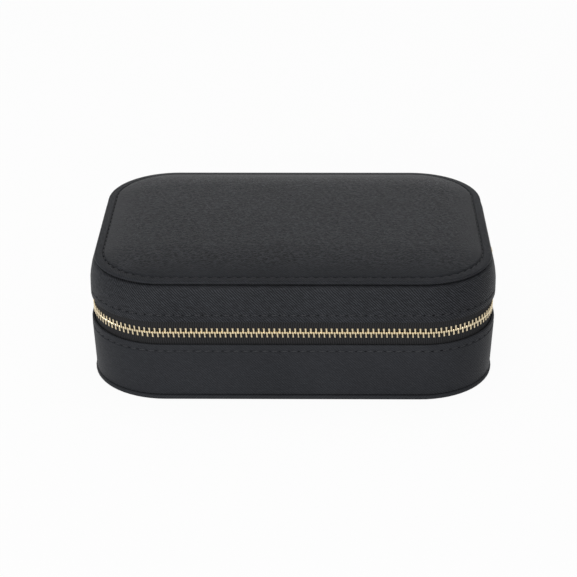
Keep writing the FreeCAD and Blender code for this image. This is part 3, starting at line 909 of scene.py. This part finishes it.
class Stitching(bpy.types.Operator):
    """Rows of stitches in the top's groove and along both leather edges."""

    bl_idname = "jewel_case.stitching"
    bl_label = "Stitching"

    def execute(self, context):
        groove = top_low.z + RIM_THICKNESS + RIM_RISE - GROOVE_DEPTH
        rows = [
            ("top_stitches", "lid", GROOVE, groove + STITCH_LIFT),
            ("lid_stitches", "lid", SEAM_DEPTH, LID_SEAM),
            ("base_stitches", "base", SEAM_DEPTH, BASE_SEAM),
        ]
        looks = context.scene.case_looks
        width = looks.thread_width
        thread = self.bead_mesh((looks.stitch_length, width, width), 0)
        # Each hole bead is a near-black bead of painted shade, standing in for the shade inside a needle hole
        # between stitches.
        hole = self.bead_mesh((looks.stitch_pitch - 0.9 * looks.stitch_length, 0.5 * width, width), 1)
        slant = Matrix.Rotation(STITCH_SLANT, 4, "Y")
        for name, body, inset, height in rows:
            bm = bmesh.new()
            count = round(line_length(inset) / looks.stitch_pitch)
            step = line_length(inset) / count
            lift = Matrix.Translation((0, 0, height))
            for index in range(count):
                add_copy(bm, thread, lift @ beside(inset, (index + 0.5) * step) @ slant)
                add_copy(bm, hole, lift @ beside(inset, index * step))
            piece = settle(bm, name, body, "waxed_thread")
            # The second finish is the painted shade of the needle holes.
            piece.data.materials.append(finish_of("painted_hole_shade"))
        for bead in (thread, hole):
            bpy.data.meshes.remove(bead)
        return {"FINISHED"}

    def bead_mesh(self, size, finish):
        """Long bead of a length, depth and height, for one stitch or one hole; the hole bead carries painted
        shade.
        """
        bm = bmesh.new()
        halves = Matrix.Diagonal((*[side / 2 for side in size], 1)) @ Matrix.Rotation(QUARTER, 4, "Y")
        bmesh.ops.create_uvsphere(bm, u_segments=BEAD_AROUND, v_segments=BEAD_ALONG, radius=1.0,
                                  matrix=halves)
        for face in bm.faces:
            face.material_index = finish
        return to_mesh(bm, "bead")


# Zip


class ZipTapes(bpy.types.Operator):
    """Both halves of the woven zip tape, each with a corded edge."""

    bl_idname = "jewel_case.zip_tapes"
    bl_label = "Zip Tapes"

    def execute(self, context):
        for body, up in (("base", 1), ("lid", -1)):
            node = body + "_zip_tape"
            low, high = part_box(node)
            seam = low.z if up > 0 else high.z
            edge = ZIP_MID - up * TAPE_EDGE
            cord = edge - up * CORD_WIDTH
            slope = cord + up * CORD_SLOPE
            outer = TAPE_OUT - CORD_BULGE
            inner = TAPE_IN + CORD_BULGE
            outline = [
                (TAPE_IN, seam),
                (TAPE_OUT, seam),
                (TAPE_OUT, cord, TAPE_CREASE),
                (outer, slope, CORD_CREASE),
                (outer, edge, CORD_ROUND),
                (inner, edge, CORD_ROUND),
                (inner, slope, CORD_CREASE),
                (TAPE_IN, cord, TAPE_CREASE),
            ]
            bm = band(outline, gap=HINGE_HALF + TAPE_END)
            rear = [v for v in bm.verts if v.co.y > STRAIGHT_Y and (v.co.z - cord) * up > HAIR]
            bmesh.ops.translate(bm, verts=rear, vec=(0, 0, up * REAR_SHIFT))
            settle(bm, body + "_tape", body, "woven_tape", (node,))
        return {"FINISHED"}


class ZipTeeth(bpy.types.Operator):
    """Rows of metal teeth, grouped by the wall they run along."""

    bl_idname = "jewel_case.zip_teeth"
    bl_label = "Zip Teeth"

    def execute(self, context):
        tooth = self.tooth_mesh(context.scene.case_looks.tooth_width / 2)
        first = STRAIGHT_Y - (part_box("base_teeth_right")[1].y - FIRST_TOOTH)
        arc = (CORNER - CHAIN_INSET) * QUARTER
        front = 2 * STRAIGHT_Y
        left = front + 2 * STRAIGHT_X + 2 * arc
        end = left + 2 * STRAIGHT_Y - CHAIN_END
        lean = Matrix.Identity(4)
        lean[0][2] = TOOTH_LEAN
        for half, up in (("base", 1), ("lid", -1)):
            groups = {"right": bmesh.new(), "front": bmesh.new(), "left": bmesh.new()}
            distance = first if up > 0 else first + TOOTH_PITCH / 2
            while distance < end:
                wall = "right" if distance < front else "left" if distance > left else "front"
                place = Matrix.Translation((0, 0, ZIP_MID)) @ beside(CHAIN_INSET, distance)
                add_copy(groups[wall], tooth, place @ lean @ Matrix.Diagonal((1, 1, up, 1)))
                distance += TOOTH_PITCH
            for wall, bm in groups.items():
                node = half + "_teeth_" + wall
                settle(bm, half + "_row_" + wall, half, "pale_gold", (node,))
        bpy.data.meshes.remove(tooth)
        return {"FINISHED"}

    def tooth_mesh(self, half):
        """One tooth: a slim bar with a wider head that tapers to its tip."""
        head = TOOTH_PITCH / 4 - TOOTH_GAP
        right = [
            (1.1 * half, -TOOTH_LEG),
            (0.85 * half, -0.6 * MM),
            (head, -0.2 * MM),
            (head, 0.05 * MM),
            (0.45 * head, TOOTH_HEAD),
        ]
        outline = right + [(-x, z) for x, z in reversed(right)]
        upright = Matrix.Translation((0, TOOTH_THICKNESS / 2, 0)) @ Matrix.Rotation(QUARTER, 4, "X")
        return to_mesh(slab(outline, TOOTH_THICKNESS, TOOTH_ROUND, upright, cuts=1), "tooth")


class ZipSlider(bpy.types.Operator):
    """Slider with its bail and hanging puller, and the stops of the chain."""

    bl_idname = "jewel_case.zip_slider"
    bl_label = "Zip Slider"

    def execute(self, context):
        low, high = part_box("slider_body")
        centre = (low + high) / 2
        length = high.y - low.y
        wide = (high.z - low.z) / 2
        body = bmesh.new()
        lower = [
            (-0.5 * length, -0.62 * wide, 1.1 * MM),
            (-0.2 * length, -wide, 1.6 * MM),
            (0.3 * length, -wide, 1.0 * MM),
            (0.5 * length, -0.7 * wide, 0.9 * MM),
        ]
        shield = lower + [(x, -y, rounding) for x, y, rounding in reversed(lower)]
        # Local x runs along the chain to the rear, local y up and local z outwards
        axes = Matrix(((0, 0, 1, 0), (1, 0, 0, 0), (0, 1, 0, 0), (0, 0, 0, 1)))
        for start in (high.x - SLIDER_PLATE, low.x):
            place = Matrix.Translation((start, centre.y, centre.z)) @ axes
            add_part(body, slab(shield, SLIDER_PLATE, PLATE_ROUND, place))
        inside = low.x + SLIDER_PLATE
        outside = high.x - SLIDER_PLATE
        reach = FLANGE_SHARE * (outside - inside)
        run = 0.4 * length
        flange = [(-run, -FLANGE_HALF), (run, -FLANGE_HALF), (run, FLANGE_HALF), (-run, FLANGE_HALF)]
        for side in (1, -1):
            for start in (inside - SLIDER_OVERLAP, outside - reach):
                spot = Matrix.Translation((start, centre.y, centre.z + side * (wide - FLANGE_INSET)))
                add_part(body, slab(flange, reach + SLIDER_OVERLAP, FLANGE_ROUND, spot @ axes))
        wedge = [
            (0.16 * length, 0.0),
            (0.3 * length, -FLANGE_HALF),
            (0.44 * length, 0.0),
            (0.3 * length, FLANGE_HALF),
        ]
        ridge = (outside - inside - TOOTH_THICKNESS) / 2 - RIDGE_CLEAR
        for start in (inside - SLIDER_OVERLAP, outside - ridge):
            spot = Matrix.Translation((start, centre.y, centre.z))
            add_part(body, slab(wedge, ridge + SLIDER_OVERLAP, RIDGE_ROUND, spot @ axes))
        settle(body, "slider_shell", "slider", "pale_gold", ("slider_body",))
        self.add_bail()
        self.add_puller(axes)
        for node in ("base_zip_stop", "lid_zip_stop", "zip_bottom_stop"):
            dress(node, "pale_gold")
        return {"FINISHED"}

    def add_bail(self):
        """Round wire arch, carried up, over and down by extrusions and quarter turns."""
        low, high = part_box("slider_bail")
        radius = 0.6 * MM
        bend = 0.45 * MM
        root = low.x - 0.2 * MM
        start = low.y + bend
        end = high.y - bend
        over = high.x - 0.15 * MM - radius
        bm = bmesh.new()
        upright = Matrix.Translation((root, start, ZIP_MID)) @ Matrix.Rotation(QUARTER, 4, "Y")
        bmesh.ops.create_circle(bm, segments=10, radius=radius, matrix=upright)
        edges = bm.edges[:]
        layer = bm.verts.layers.float.new("walk")
        first = Matrix.Translation((over - bend - root, 0, 0))
        edges = push_on(bm, edges, layer, 0.0, first)
        for pivot_y, run in ((start + bend, end - start - 2 * bend), (end - bend, 0.0)):
            centre = Matrix.Translation((over - bend, pivot_y, ZIP_MID))
            turn = centre @ Matrix.Rotation(QUARTER / 4, 4, "Z") @ centre.inverted()
            for _ in range(4):
                edges = push_on(bm, edges, layer, 0.0, turn)
            if run:
                edges = push_on(bm, edges, layer, 0.0, Matrix.Translation((0, run, 0)))
        push_on(bm, edges, layer, 0.0, first.inverted())
        drop_layer(bm, "walk")
        close_ends(bm)
        settle(bm, "bail", "slider", "pale_gold", ("slider_bail",))

    def add_puller(self, axes):
        """Flat drop-shaped puller with a rolled eye round the bail."""
        low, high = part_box("zip_puller")
        middle = (low.y + high.y) / 2
        wide = (high.y - low.y) / 2
        eye = 1.4 * MM
        eye_x = (low.x + high.x) / 2
        thick = 1.1 * MM
        top = -0.9 * MM
        end = low.z - ZIP_MID
        neck, neck_round = -3.0 * MM, 1.5 * MM
        belly, belly_round = -8.0 * MM, 3.0 * MM
        outline = [
            (-eye, top),
            (eye, top),
            (eye, neck, neck_round),
            (wide, belly, belly_round),
            (wide, end, 0.97 * wide),
            (-wide, end, 0.97 * wide),
            (-wide, belly, belly_round),
            (-eye, neck, neck_round),
        ]
        bm = bmesh.new()
        place = Matrix.Translation((eye_x - thick / 2, middle, ZIP_MID)) @ axes
        add_part(bm, slab(outline, thick, 0.3 * MM, place))
        hole, outside, softened = 0.68 * MM, 1.3 * MM, 0.15 * MM
        ring = [(hole, -eye), (hole, eye), (outside, eye, softened), (outside, -eye, softened)]
        roll = turned_ring(ring, Vector((0, 1, 0)), 20)
        bmesh.ops.translate(roll, verts=roll.verts[:], vec=(eye_x, middle, ZIP_MID))
        add_part(bm, roll)
        settle(bm, "puller_drop", "puller", "pale_gold", ("zip_puller",))


class LeatherHinge(bpy.types.Operator):
    """Leather hinge across the back and the lining strip behind it, both bending with the lid."""

    bl_idname = "jewel_case.leather_hinge"
    bl_label = "Leather Hinge"

    def execute(self, context):
        strips = [
            ("hinge_leather", "hinge_strip", "wall_leather", "outer_leather", HINGE_BULGE, HINGE_SHAVE),
            ("hinge_cloth", "hinge_lining", "brushed_lining", "lining", 0.0, 0.0),
        ]
        for name, node, finish, slot, bulge, shave in strips:
            low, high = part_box(node)
            outer = high.y - shave
            middle = Vector((0, (low.y + outer) / 2, ZIP_MID))
            bm = block(middle, (high.x - low.x, outer - low.y, high.z - low.z))
            upright = [e for e in bm.edges if run_of(e, 2) > MM]
            bmesh.ops.subdivide_edges(bm, edges=upright, cuts=HINGE_CUTS, use_grid_fill=True)
            for vert in bm.verts:
                share = max(0.0, 1 - ((vert.co.z - ZIP_MID) / (ZIP_MID - BASE_TOP)) ** 2)
                if vert.co.y > middle.y:
                    vert.co.y += bulge * share
            lay_grain(bm, 0, 2)
            piece = settle(bm, name, None, finish, (node,))
            start = (0, middle.y, BASE_TOP + HINGE_HOLD)
            end = (0, middle.y, LID_EDGE - HINGE_HOLD)
            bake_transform(piece, "base", "lid", start=start, end=end)
        return {"FINISHED"}


# Inside


class Linings(bpy.types.Operator):
    """Soft linings of the base and the lid, and the boards behind them."""

    bl_idname = "jewel_case.linings"
    bl_label = "Linings"

    def execute(self, context):
        sheets = [("floor_cloth", "base_lining_floor", "base"), ("ceiling_cloth", "lid_lining_panel", "lid")]
        for name, node, body in sheets:
            low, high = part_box(node)
            edge = HALF_X - high.x
            bm = plate([(CORNER, high.z), (edge, high.z), (edge, low.z), (CORNER, low.z)])
            settle(bm, name, body, "brushed_lining", (node,))
        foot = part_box("base_lining_wall")[0].z
        behind = CLOTH_INNER - CLOTH
        base = [
            (behind, foot),
            (behind, BASE_TOP - CLOTH),
            (CLOTH_LIP, BASE_TOP - CLOTH),
            (CLOTH_LIP, BASE_TOP, LIP_FOLD),
            (CLOTH_INNER, BASE_TOP, CLOTH_FOLD),
            (CLOTH_INNER, foot),
        ]
        settle(band(base), "base_cloth", "base", "brushed_lining", ("base_lining_wall",))
        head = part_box("lid_lining_wall")[1].z
        lid = [
            (behind, LID_EDGE + CLOTH),
            (behind + CLOTH_LEAN, head),
            (CLOTH_INNER + CLOTH_LEAN, head),
            (CLOTH_INNER, LID_EDGE, CLOTH_FOLD),
            (CLOTH_LIP, LID_EDGE, LIP_FOLD),
            (CLOTH_LIP, LID_EDGE + CLOTH),
        ]
        settle(band(lid), "lid_cloth", "lid", "brushed_lining", ("lid_lining_wall",))
        for node in ("base_board", "base_wall_board", "lid_board", "lid_wall_board"):
            dress(node, "grey_board")
        return {"FINISHED"}


def bar(node, top_round, end_round, long_axis):
    """Block of a node's size with a rounded top, for covered dividers and rolls."""
    low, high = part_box(node)
    size = high - low
    bm = block((low + high) / 2, size)
    top = [e for e in bm.edges if min(v.co.z for v in e.verts) > high.z - NEAR
           and run_of(e, long_axis) > 0.5 * size[long_axis]]
    round_edges(bm, top, top_round, 7)
    if end_round:
        ends = [e for e in bm.edges if run_of(e, long_axis) < NEAR
                and max(v.co.z for v in e.verts) > low.z + NEAR]
        round_edges(bm, ends, end_round, 3)
    return bm


class Dividers(bpy.types.Operator):
    """Cloth-covered dividers of the base."""

    bl_idname = "jewel_case.dividers"
    bl_label = "Dividers"

    def execute(self, context):
        for node, axis in (("divider_left", 1), ("divider_right", 1), ("divider_cross", 0)):
            name = node.replace("divider", "partition")
            settle(bar(node, DIVIDER_ROUND, 0.0, axis), name, "base", "brushed_lining", (node,))
        return {"FINISHED"}


class RingRolls(bpy.types.Operator):
    """Padded rolls that grip rings between them."""

    bl_idname = "jewel_case.ring_rolls"
    bl_label = "Ring Rolls"

    def execute(self, context):
        rolls = sorted(node for node in frame["nodes"] if node.startswith("ring_roll"))
        covers = {node: self.slack_cover(node) for node in rolls}
        self.fill(context, covers)
        for node, cover in covers.items():
            bm = bmesh.new()
            bm.from_mesh(cover.data)
            bpy.data.objects.remove(cover)
            bmesh.ops.smooth_vert(bm, verts=bm.verts[:], factor=ROLL_SMOOTH,
                                  use_axis_x=True, use_axis_y=True, use_axis_z=True)
            name = node.replace("ring_roll", "roll_pad")
            piece = settle(bm, name, "base", "brushed_lining", (node,))
        return {"FINISHED"}

    def slack_cover(self, node):
        """Roll of a node's size, a little slack, as an even mesh whose underside and ends are held."""
        low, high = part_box(node)
        middle = (low + high) / 2
        bm = bar(node, ROLL_TOP * (high.y - low.y), ROLL_END, 0)
        for vert in bm.verts:
            vert.co.y = middle.y + (vert.co.y - middle.y) * ROLL_SLACK
            vert.co.z = low.z + (vert.co.z - low.z) * ROLL_SLACK
        cover = to_object(to_mesh(bm, "cover"), "cover")
        remesh = cover.modifiers.new("even", "REMESH")
        remesh.mode = "VOXEL"
        remesh.voxel_size = ROLL_MESH
        self.apply(cover)
        held = cover.vertex_groups.new(name="held")
        for vert in cover.data.vertices:
            end = abs(vert.co.x - middle.x) > (high.x - low.x) / 2 - ROLL_HELD
            if end or vert.co.z < low.z + ROLL_HELD:
                held.add([vert.index], 1.0, "REPLACE")
        return cover

    def fill(self, context, covers):
        """Swells every cover with cloth pressure, and caps how far a point moves."""
        for cover in covers.values():
            cloth = cover.modifiers.new("filling", "CLOTH").settings
            cloth.quality = 6
            cloth.use_pressure = True
            cloth.uniform_pressure_force = ROLL_PRESSURE
            cloth.shrink_min = -0.05
            cloth.vertex_group_mass = "held"
            cloth.effector_weights.gravity = 0.0
        for step in range(1, FILL_STEPS + 1):
            context.scene.frame_set(step)
        for cover in covers.values():
            slack = [vert.co.copy() for vert in cover.data.vertices]
            self.apply(cover)
            for vert, start in zip(cover.data.vertices, slack):
                move = vert.co - start
                vert.co = start + move * min(1.0, ROLL_SWELL / max(move.length, TINY))
        context.scene.frame_set(1)

    def apply(self, cover):
        """Bakes the modifiers of a cover into its mesh."""
        shaped = cover.evaluated_get(bpy.context.evaluated_depsgraph_get())
        mesh = bpy.data.meshes.new_from_object(shaped)
        cover.modifiers.clear()
        cover.data = mesh


def pleat_at(x):
    """Ripple of the gathers at a place along the pocket, from -1 to 1."""
    along = x / MM
    return math.sin(along * PLEAT_TURN + PLEAT_DRIFT * math.sin(along * DRIFT_TURN))


class LidPocket(bpy.types.Operator):
    """Gathered pocket in the lid with its elastic hem."""

    bl_idname = "jewel_case.lid_pocket"
    bl_label = "Lid Pocket"

    def execute(self, context):
        low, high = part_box("lid_pocket")
        half = (high.x - low.x) / 2
        depth = high.y - low.y
        middle = Vector((0, (low.y + high.y) / 2, high.z))
        bm = bmesh.new()
        place = Matrix.Translation(middle) @ Matrix.Diagonal((half, depth / 2, 1, 1))
        bmesh.ops.create_grid(bm, x_segments=POCKET_STEPS, y_segments=POCKET_ROWS, size=1, matrix=place)
        for vert in bm.verts:
            back = (vert.co.y - low.y) / depth
            side = min(1.0, (half - abs(vert.co.x)) / POCKET_SEAM)
            belly = POCKET_BELLY * math.sin(math.pi * min(1.0, back * BELLY_TURN))
            sag = POCKET_MOUTH + belly - POCKET_FALL * back ** 2
            gather = GATHER_DEPTH * pleat_at(vert.co.x) * (1 - GATHER_FADE * back)
            vert.co.z -= POCKET_CLEAR + eased(side) * max(POCKET_LEAST, sag + gather - POCKET_CLEAR)
        bmesh.ops.solidify(bm, geom=bm.faces[:], thickness=POCKET_CLOTH)
        pocket = settle(bm, "gathered_pocket", "lid", "brushed_lining", ("lid_pocket",))
        hem = self.add_hem(half)
        return {"FINISHED"}

    def add_hem(self, half):
        """Elastic hem, a flattened tube that the gathers ripple."""
        low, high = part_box("pocket_hem")
        bm = bmesh.new()
        centre = Vector((-half, (low.y + high.y) / 2, (low.z + high.z) / 2))
        flattened = Matrix.Diagonal((1, (high.y - low.y) / 2, (high.z - low.z) / 2, 1))
        place = Matrix.Translation(centre) @ flattened @ Matrix.Rotation(QUARTER, 4, "Y")
        bmesh.ops.create_circle(bm, segments=10, radius=HEM_FILL, matrix=place)
        layer = bm.verts.layers.float.new("walk")
        edges = bm.edges[:]
        step = Matrix.Translation((2 * half / POCKET_STEPS, 0, 0))
        for _ in range(POCKET_STEPS):
            edges = push_on(bm, edges, layer, 0.0, step)
        drop_layer(bm, "walk")
        for vert in bm.verts:
            swell = 1 + HEM_RIPPLE * pleat_at(vert.co.x)
            vert.co.y = centre.y + (vert.co.y - centre.y) * swell
            vert.co.z = centre.z + (vert.co.z - centre.z) * swell
        close_ends(bm)
        return settle(bm, "elastic_hem", "lid", "brushed_lining", ("pocket_hem",))


class NecklaceTabs(bpy.types.Operator):
    """Leather tabs that hold necklaces, with their strip and press studs."""

    bl_idname = "jewel_case.necklace_tabs"
    bl_label = "Necklace Tabs"

    def execute(self, context):
        low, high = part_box("necklace_strip")
        corners = [(low.x, low.y), (high.x, low.y), (high.x, high.y), (low.x, high.y)]
        place = Matrix.Translation((0, 0, low.z))
        outline = [(*corner, STRIP_CORNER) for corner in corners]
        strip = slab(outline, high.z - low.z, STRIP_ROUND, place)
        lay_grain(strip, 0, 1)
        settle(strip, "tab_strip", "lid", "wall_leather", ("necklace_strip",))
        dress("snap_posts", "pale_gold")
        joints = [joint for joint in frame["joints"] if joint["name"].startswith("tab_")]
        for index, joint in enumerate(joints, start=1):
            self.add_tab(index, joint)
        return {"FINISHED"}

    def add_tab(self, index, joint):
        """One tab with a rolled root on its joint, and the press stud near its end."""
        half = TAB_HALF
        skin = TAB_THICKNESS / 2
        bend = 0.96 * half
        place = Matrix.Translation(joint["pos_m"]) @ Matrix.Rotation(TAB_LEAN, 4, "X")
        outline = [(-half, 0.0), (half, 0.0), (half, TAB_LENGTH, bend), (-half, TAB_LENGTH, bend)]
        tab = slab(outline, TAB_THICKNESS, TAB_ROUND, place @ Matrix.Translation((0, 0, -skin)))
        root = bmesh.new()
        bmesh.ops.create_cone(root, cap_ends=True, segments=20, radius1=skin, radius2=skin, depth=2 * half,
                              matrix=place @ Matrix.Rotation(QUARTER, 4, "Y"))
        add_part(tab, root)
        lay_grain(tab, 0, 1)
        node = "necklace_tab_" + str(index)
        settle(tab, "leather_tab_" + str(index), joint["child"], "wall_leather", (node,))
        bm = bmesh.new()
        cap = place @ Matrix.Translation((0, STUD_PLACE, -skin - STUD_HEIGHT / 2))
        bmesh.ops.create_cone(bm, cap_ends=True, segments=32, radius1=2.6 * MM, radius2=3.8 * MM,
                              depth=STUD_HEIGHT, matrix=cap)
        round_edges(bm, bm.edges[:], STUD_ROUND, 3)
        hole, outside = 1.9 * MM, 3.0 * MM
        ring = [
            (hole, 0.0),
            (outside, 0.0),
            (outside, STUD_HEIGHT, STUD_ROUND),
            (hole, STUD_HEIGHT, STUD_ROUND),
        ]
        socket = turned_ring(ring, Vector((0, 0, 1)), 32)
        below = place @ Matrix.Translation((0, STUD_PLACE, skin))
        bmesh.ops.transform(socket, matrix=below, verts=socket.verts[:])
        add_part(bm, socket)
        node = "tab_snap_" + str(index)
        settle(bm, "press_stud_" + str(index), joint["child"], "pale_gold", (node,))


# Stage


class Stage(bpy.types.Operator):
    """White floor, soft studio light and the camera."""

    bl_idname = "jewel_case.stage"
    bl_label = "Stage"

    def execute(self, context):
        self.add_floor()
        self.light_world()
        self.add_lamp("overhead", (0.0, 0.2, 1.1), (1.2, 0.8), 3.5)
        self.add_lamp("front_fill", (-0.35, -1.2, 0.3), (0.8, 0.5), 11.0)
        self.add_lamp("back_sheen", (0.0, 1.3, 0.5), (1.6, 0.35), 1.5)
        self.add_camera()
        context.scene.view_settings.view_transform = "Standard"
        return {"FINISHED"}

    def seen(self, nodes):
        """Share of rays that show the background: camera, glossy and transmission rays."""
        rays = [nodes.node("ShaderNodeLightPath", output=name)
                for name in ("Is Camera Ray", "Is Glossy Ray", "Is Transmission Ray")]
        return (rays[0] + rays[1] + rays[2]).lesser(1.0)

    def add_floor(self):
        bm = bmesh.new()
        bmesh.ops.create_grid(bm, x_segments=1, y_segments=1, size=FLOOR_HALF)
        floor = to_object(to_mesh(bm, "floor"), "floor")
        finish = Finish("white_floor")
        pale = finish.node("ShaderNodeBsdfDiffuse", {}, {"Color": (0.95, 0.95, 0.95, 1)})
        glow = finish.node("ShaderNodeEmission", {}, {"Color": (1, 1, 1, 1), "Strength": 1.0})
        white = finish.node("ShaderNodeMixShader", {}, {0: FLOOR_GLOW, 1: pale, 2: glow})
        shown = finish.node("ShaderNodeMixShader", {}, {0: self.seen(finish), 1: pale, 2: white})
        finish.link(finish.tree.nodes["Material Output"].inputs["Surface"], shown)
        floor.data.materials.append(finish.material)

    def light_world(self):
        world = bpy.data.worlds.new("studio")
        bpy.context.scene.world = world
        world.use_nodes = True
        nodes = Nodes(world.node_tree)
        light = nodes.node("ShaderNodeBackground", {}, {"Color": (1, 1, 1, 1), "Strength": AMBIENT})
        white = nodes.node("ShaderNodeBackground", {}, {"Color": (0.98, 0.98, 0.98, 1), "Strength": 1.0})
        shown = nodes.node("ShaderNodeMixShader", {}, {0: self.seen(nodes), 1: light, 2: white})
        nodes.link(nodes.tree.nodes["World Output"].inputs["Surface"], shown)

    def add_lamp(self, name, spot, size, watts):
        lamp = bpy.data.lights.new(name, "AREA")
        lamp.shape = "RECTANGLE"
        lamp.size, lamp.size_y = size
        lamp.energy = watts
        made = to_object(lamp, name)
        made.location = spot
        aim = Vector(LAMP_AIM) - Vector(spot)
        made.rotation_euler = aim.to_track_quat("-Z", "Y").to_euler()

    def add_camera(self):
        """Camera of the photograph's view, as fitted to the case's outline."""
        target = Vector((-2.31, 0.0, 21.92)) * MM
        distance = 771.9 * MM
        pitch = math.radians(26.13)
        yaw = math.radians(-0.91)
        roll = math.radians(-0.3)
        forward = Vector((math.sin(yaw) * math.cos(pitch), math.cos(yaw) * math.cos(pitch), -math.sin(pitch)))
        data = bpy.data.cameras.new("camera")
        data.sensor_width = 36.0
        data.lens = 109.66
        data.clip_start = 0.01
        made = to_object(data, "camera")
        turn = forward.to_track_quat("-Z", "Y").to_matrix().to_4x4() @ Matrix.Rotation(roll, 4, "Z")
        made.matrix_world = Matrix.Translation(target - forward * distance) @ turn
        bpy.context.scene.camera = made


class CasePanel(bpy.types.Panel):
    """Sidebar list of the case's pieces and its settings."""

    bl_idname = "VIEW3D_PT_jewel_case"
    bl_label = "Jewellery Case"
    bl_space_type = "VIEW_3D"
    bl_region_type = "UI"
    bl_category = "Jewellery Case"

    def draw(self, context):
        for setting in CaseLooks.__annotations__:
            self.layout.prop(context.scene.case_looks, setting)
        for operator in OPERATORS:
            self.layout.operator(operator.bl_idname)


OPERATORS = (Stage, PaddedTop, Walls, Stitching, ZipTapes, ZipTeeth, ZipSlider, LeatherHinge, Linings,
             Dividers, RingRolls, LidPocket, NecklaceTabs)


def register():
    for kind in (CaseLooks, *OPERATORS, CasePanel):
        bpy.utils.register_class(kind)
    bpy.types.Scene.case_looks = bpy.props.PointerProperty(type=CaseLooks)


def unregister():
    del bpy.types.Scene.case_looks
    for kind in reversed((CaseLooks, *OPERATORS, CasePanel)):
        bpy.utils.unregister_class(kind)


def main():
    register()
    for operator in OPERATORS:
        group, name = operator.bl_idname.split(".")
        getattr(getattr(bpy.ops, group), name)()


if __name__ == "__main__":
    main()
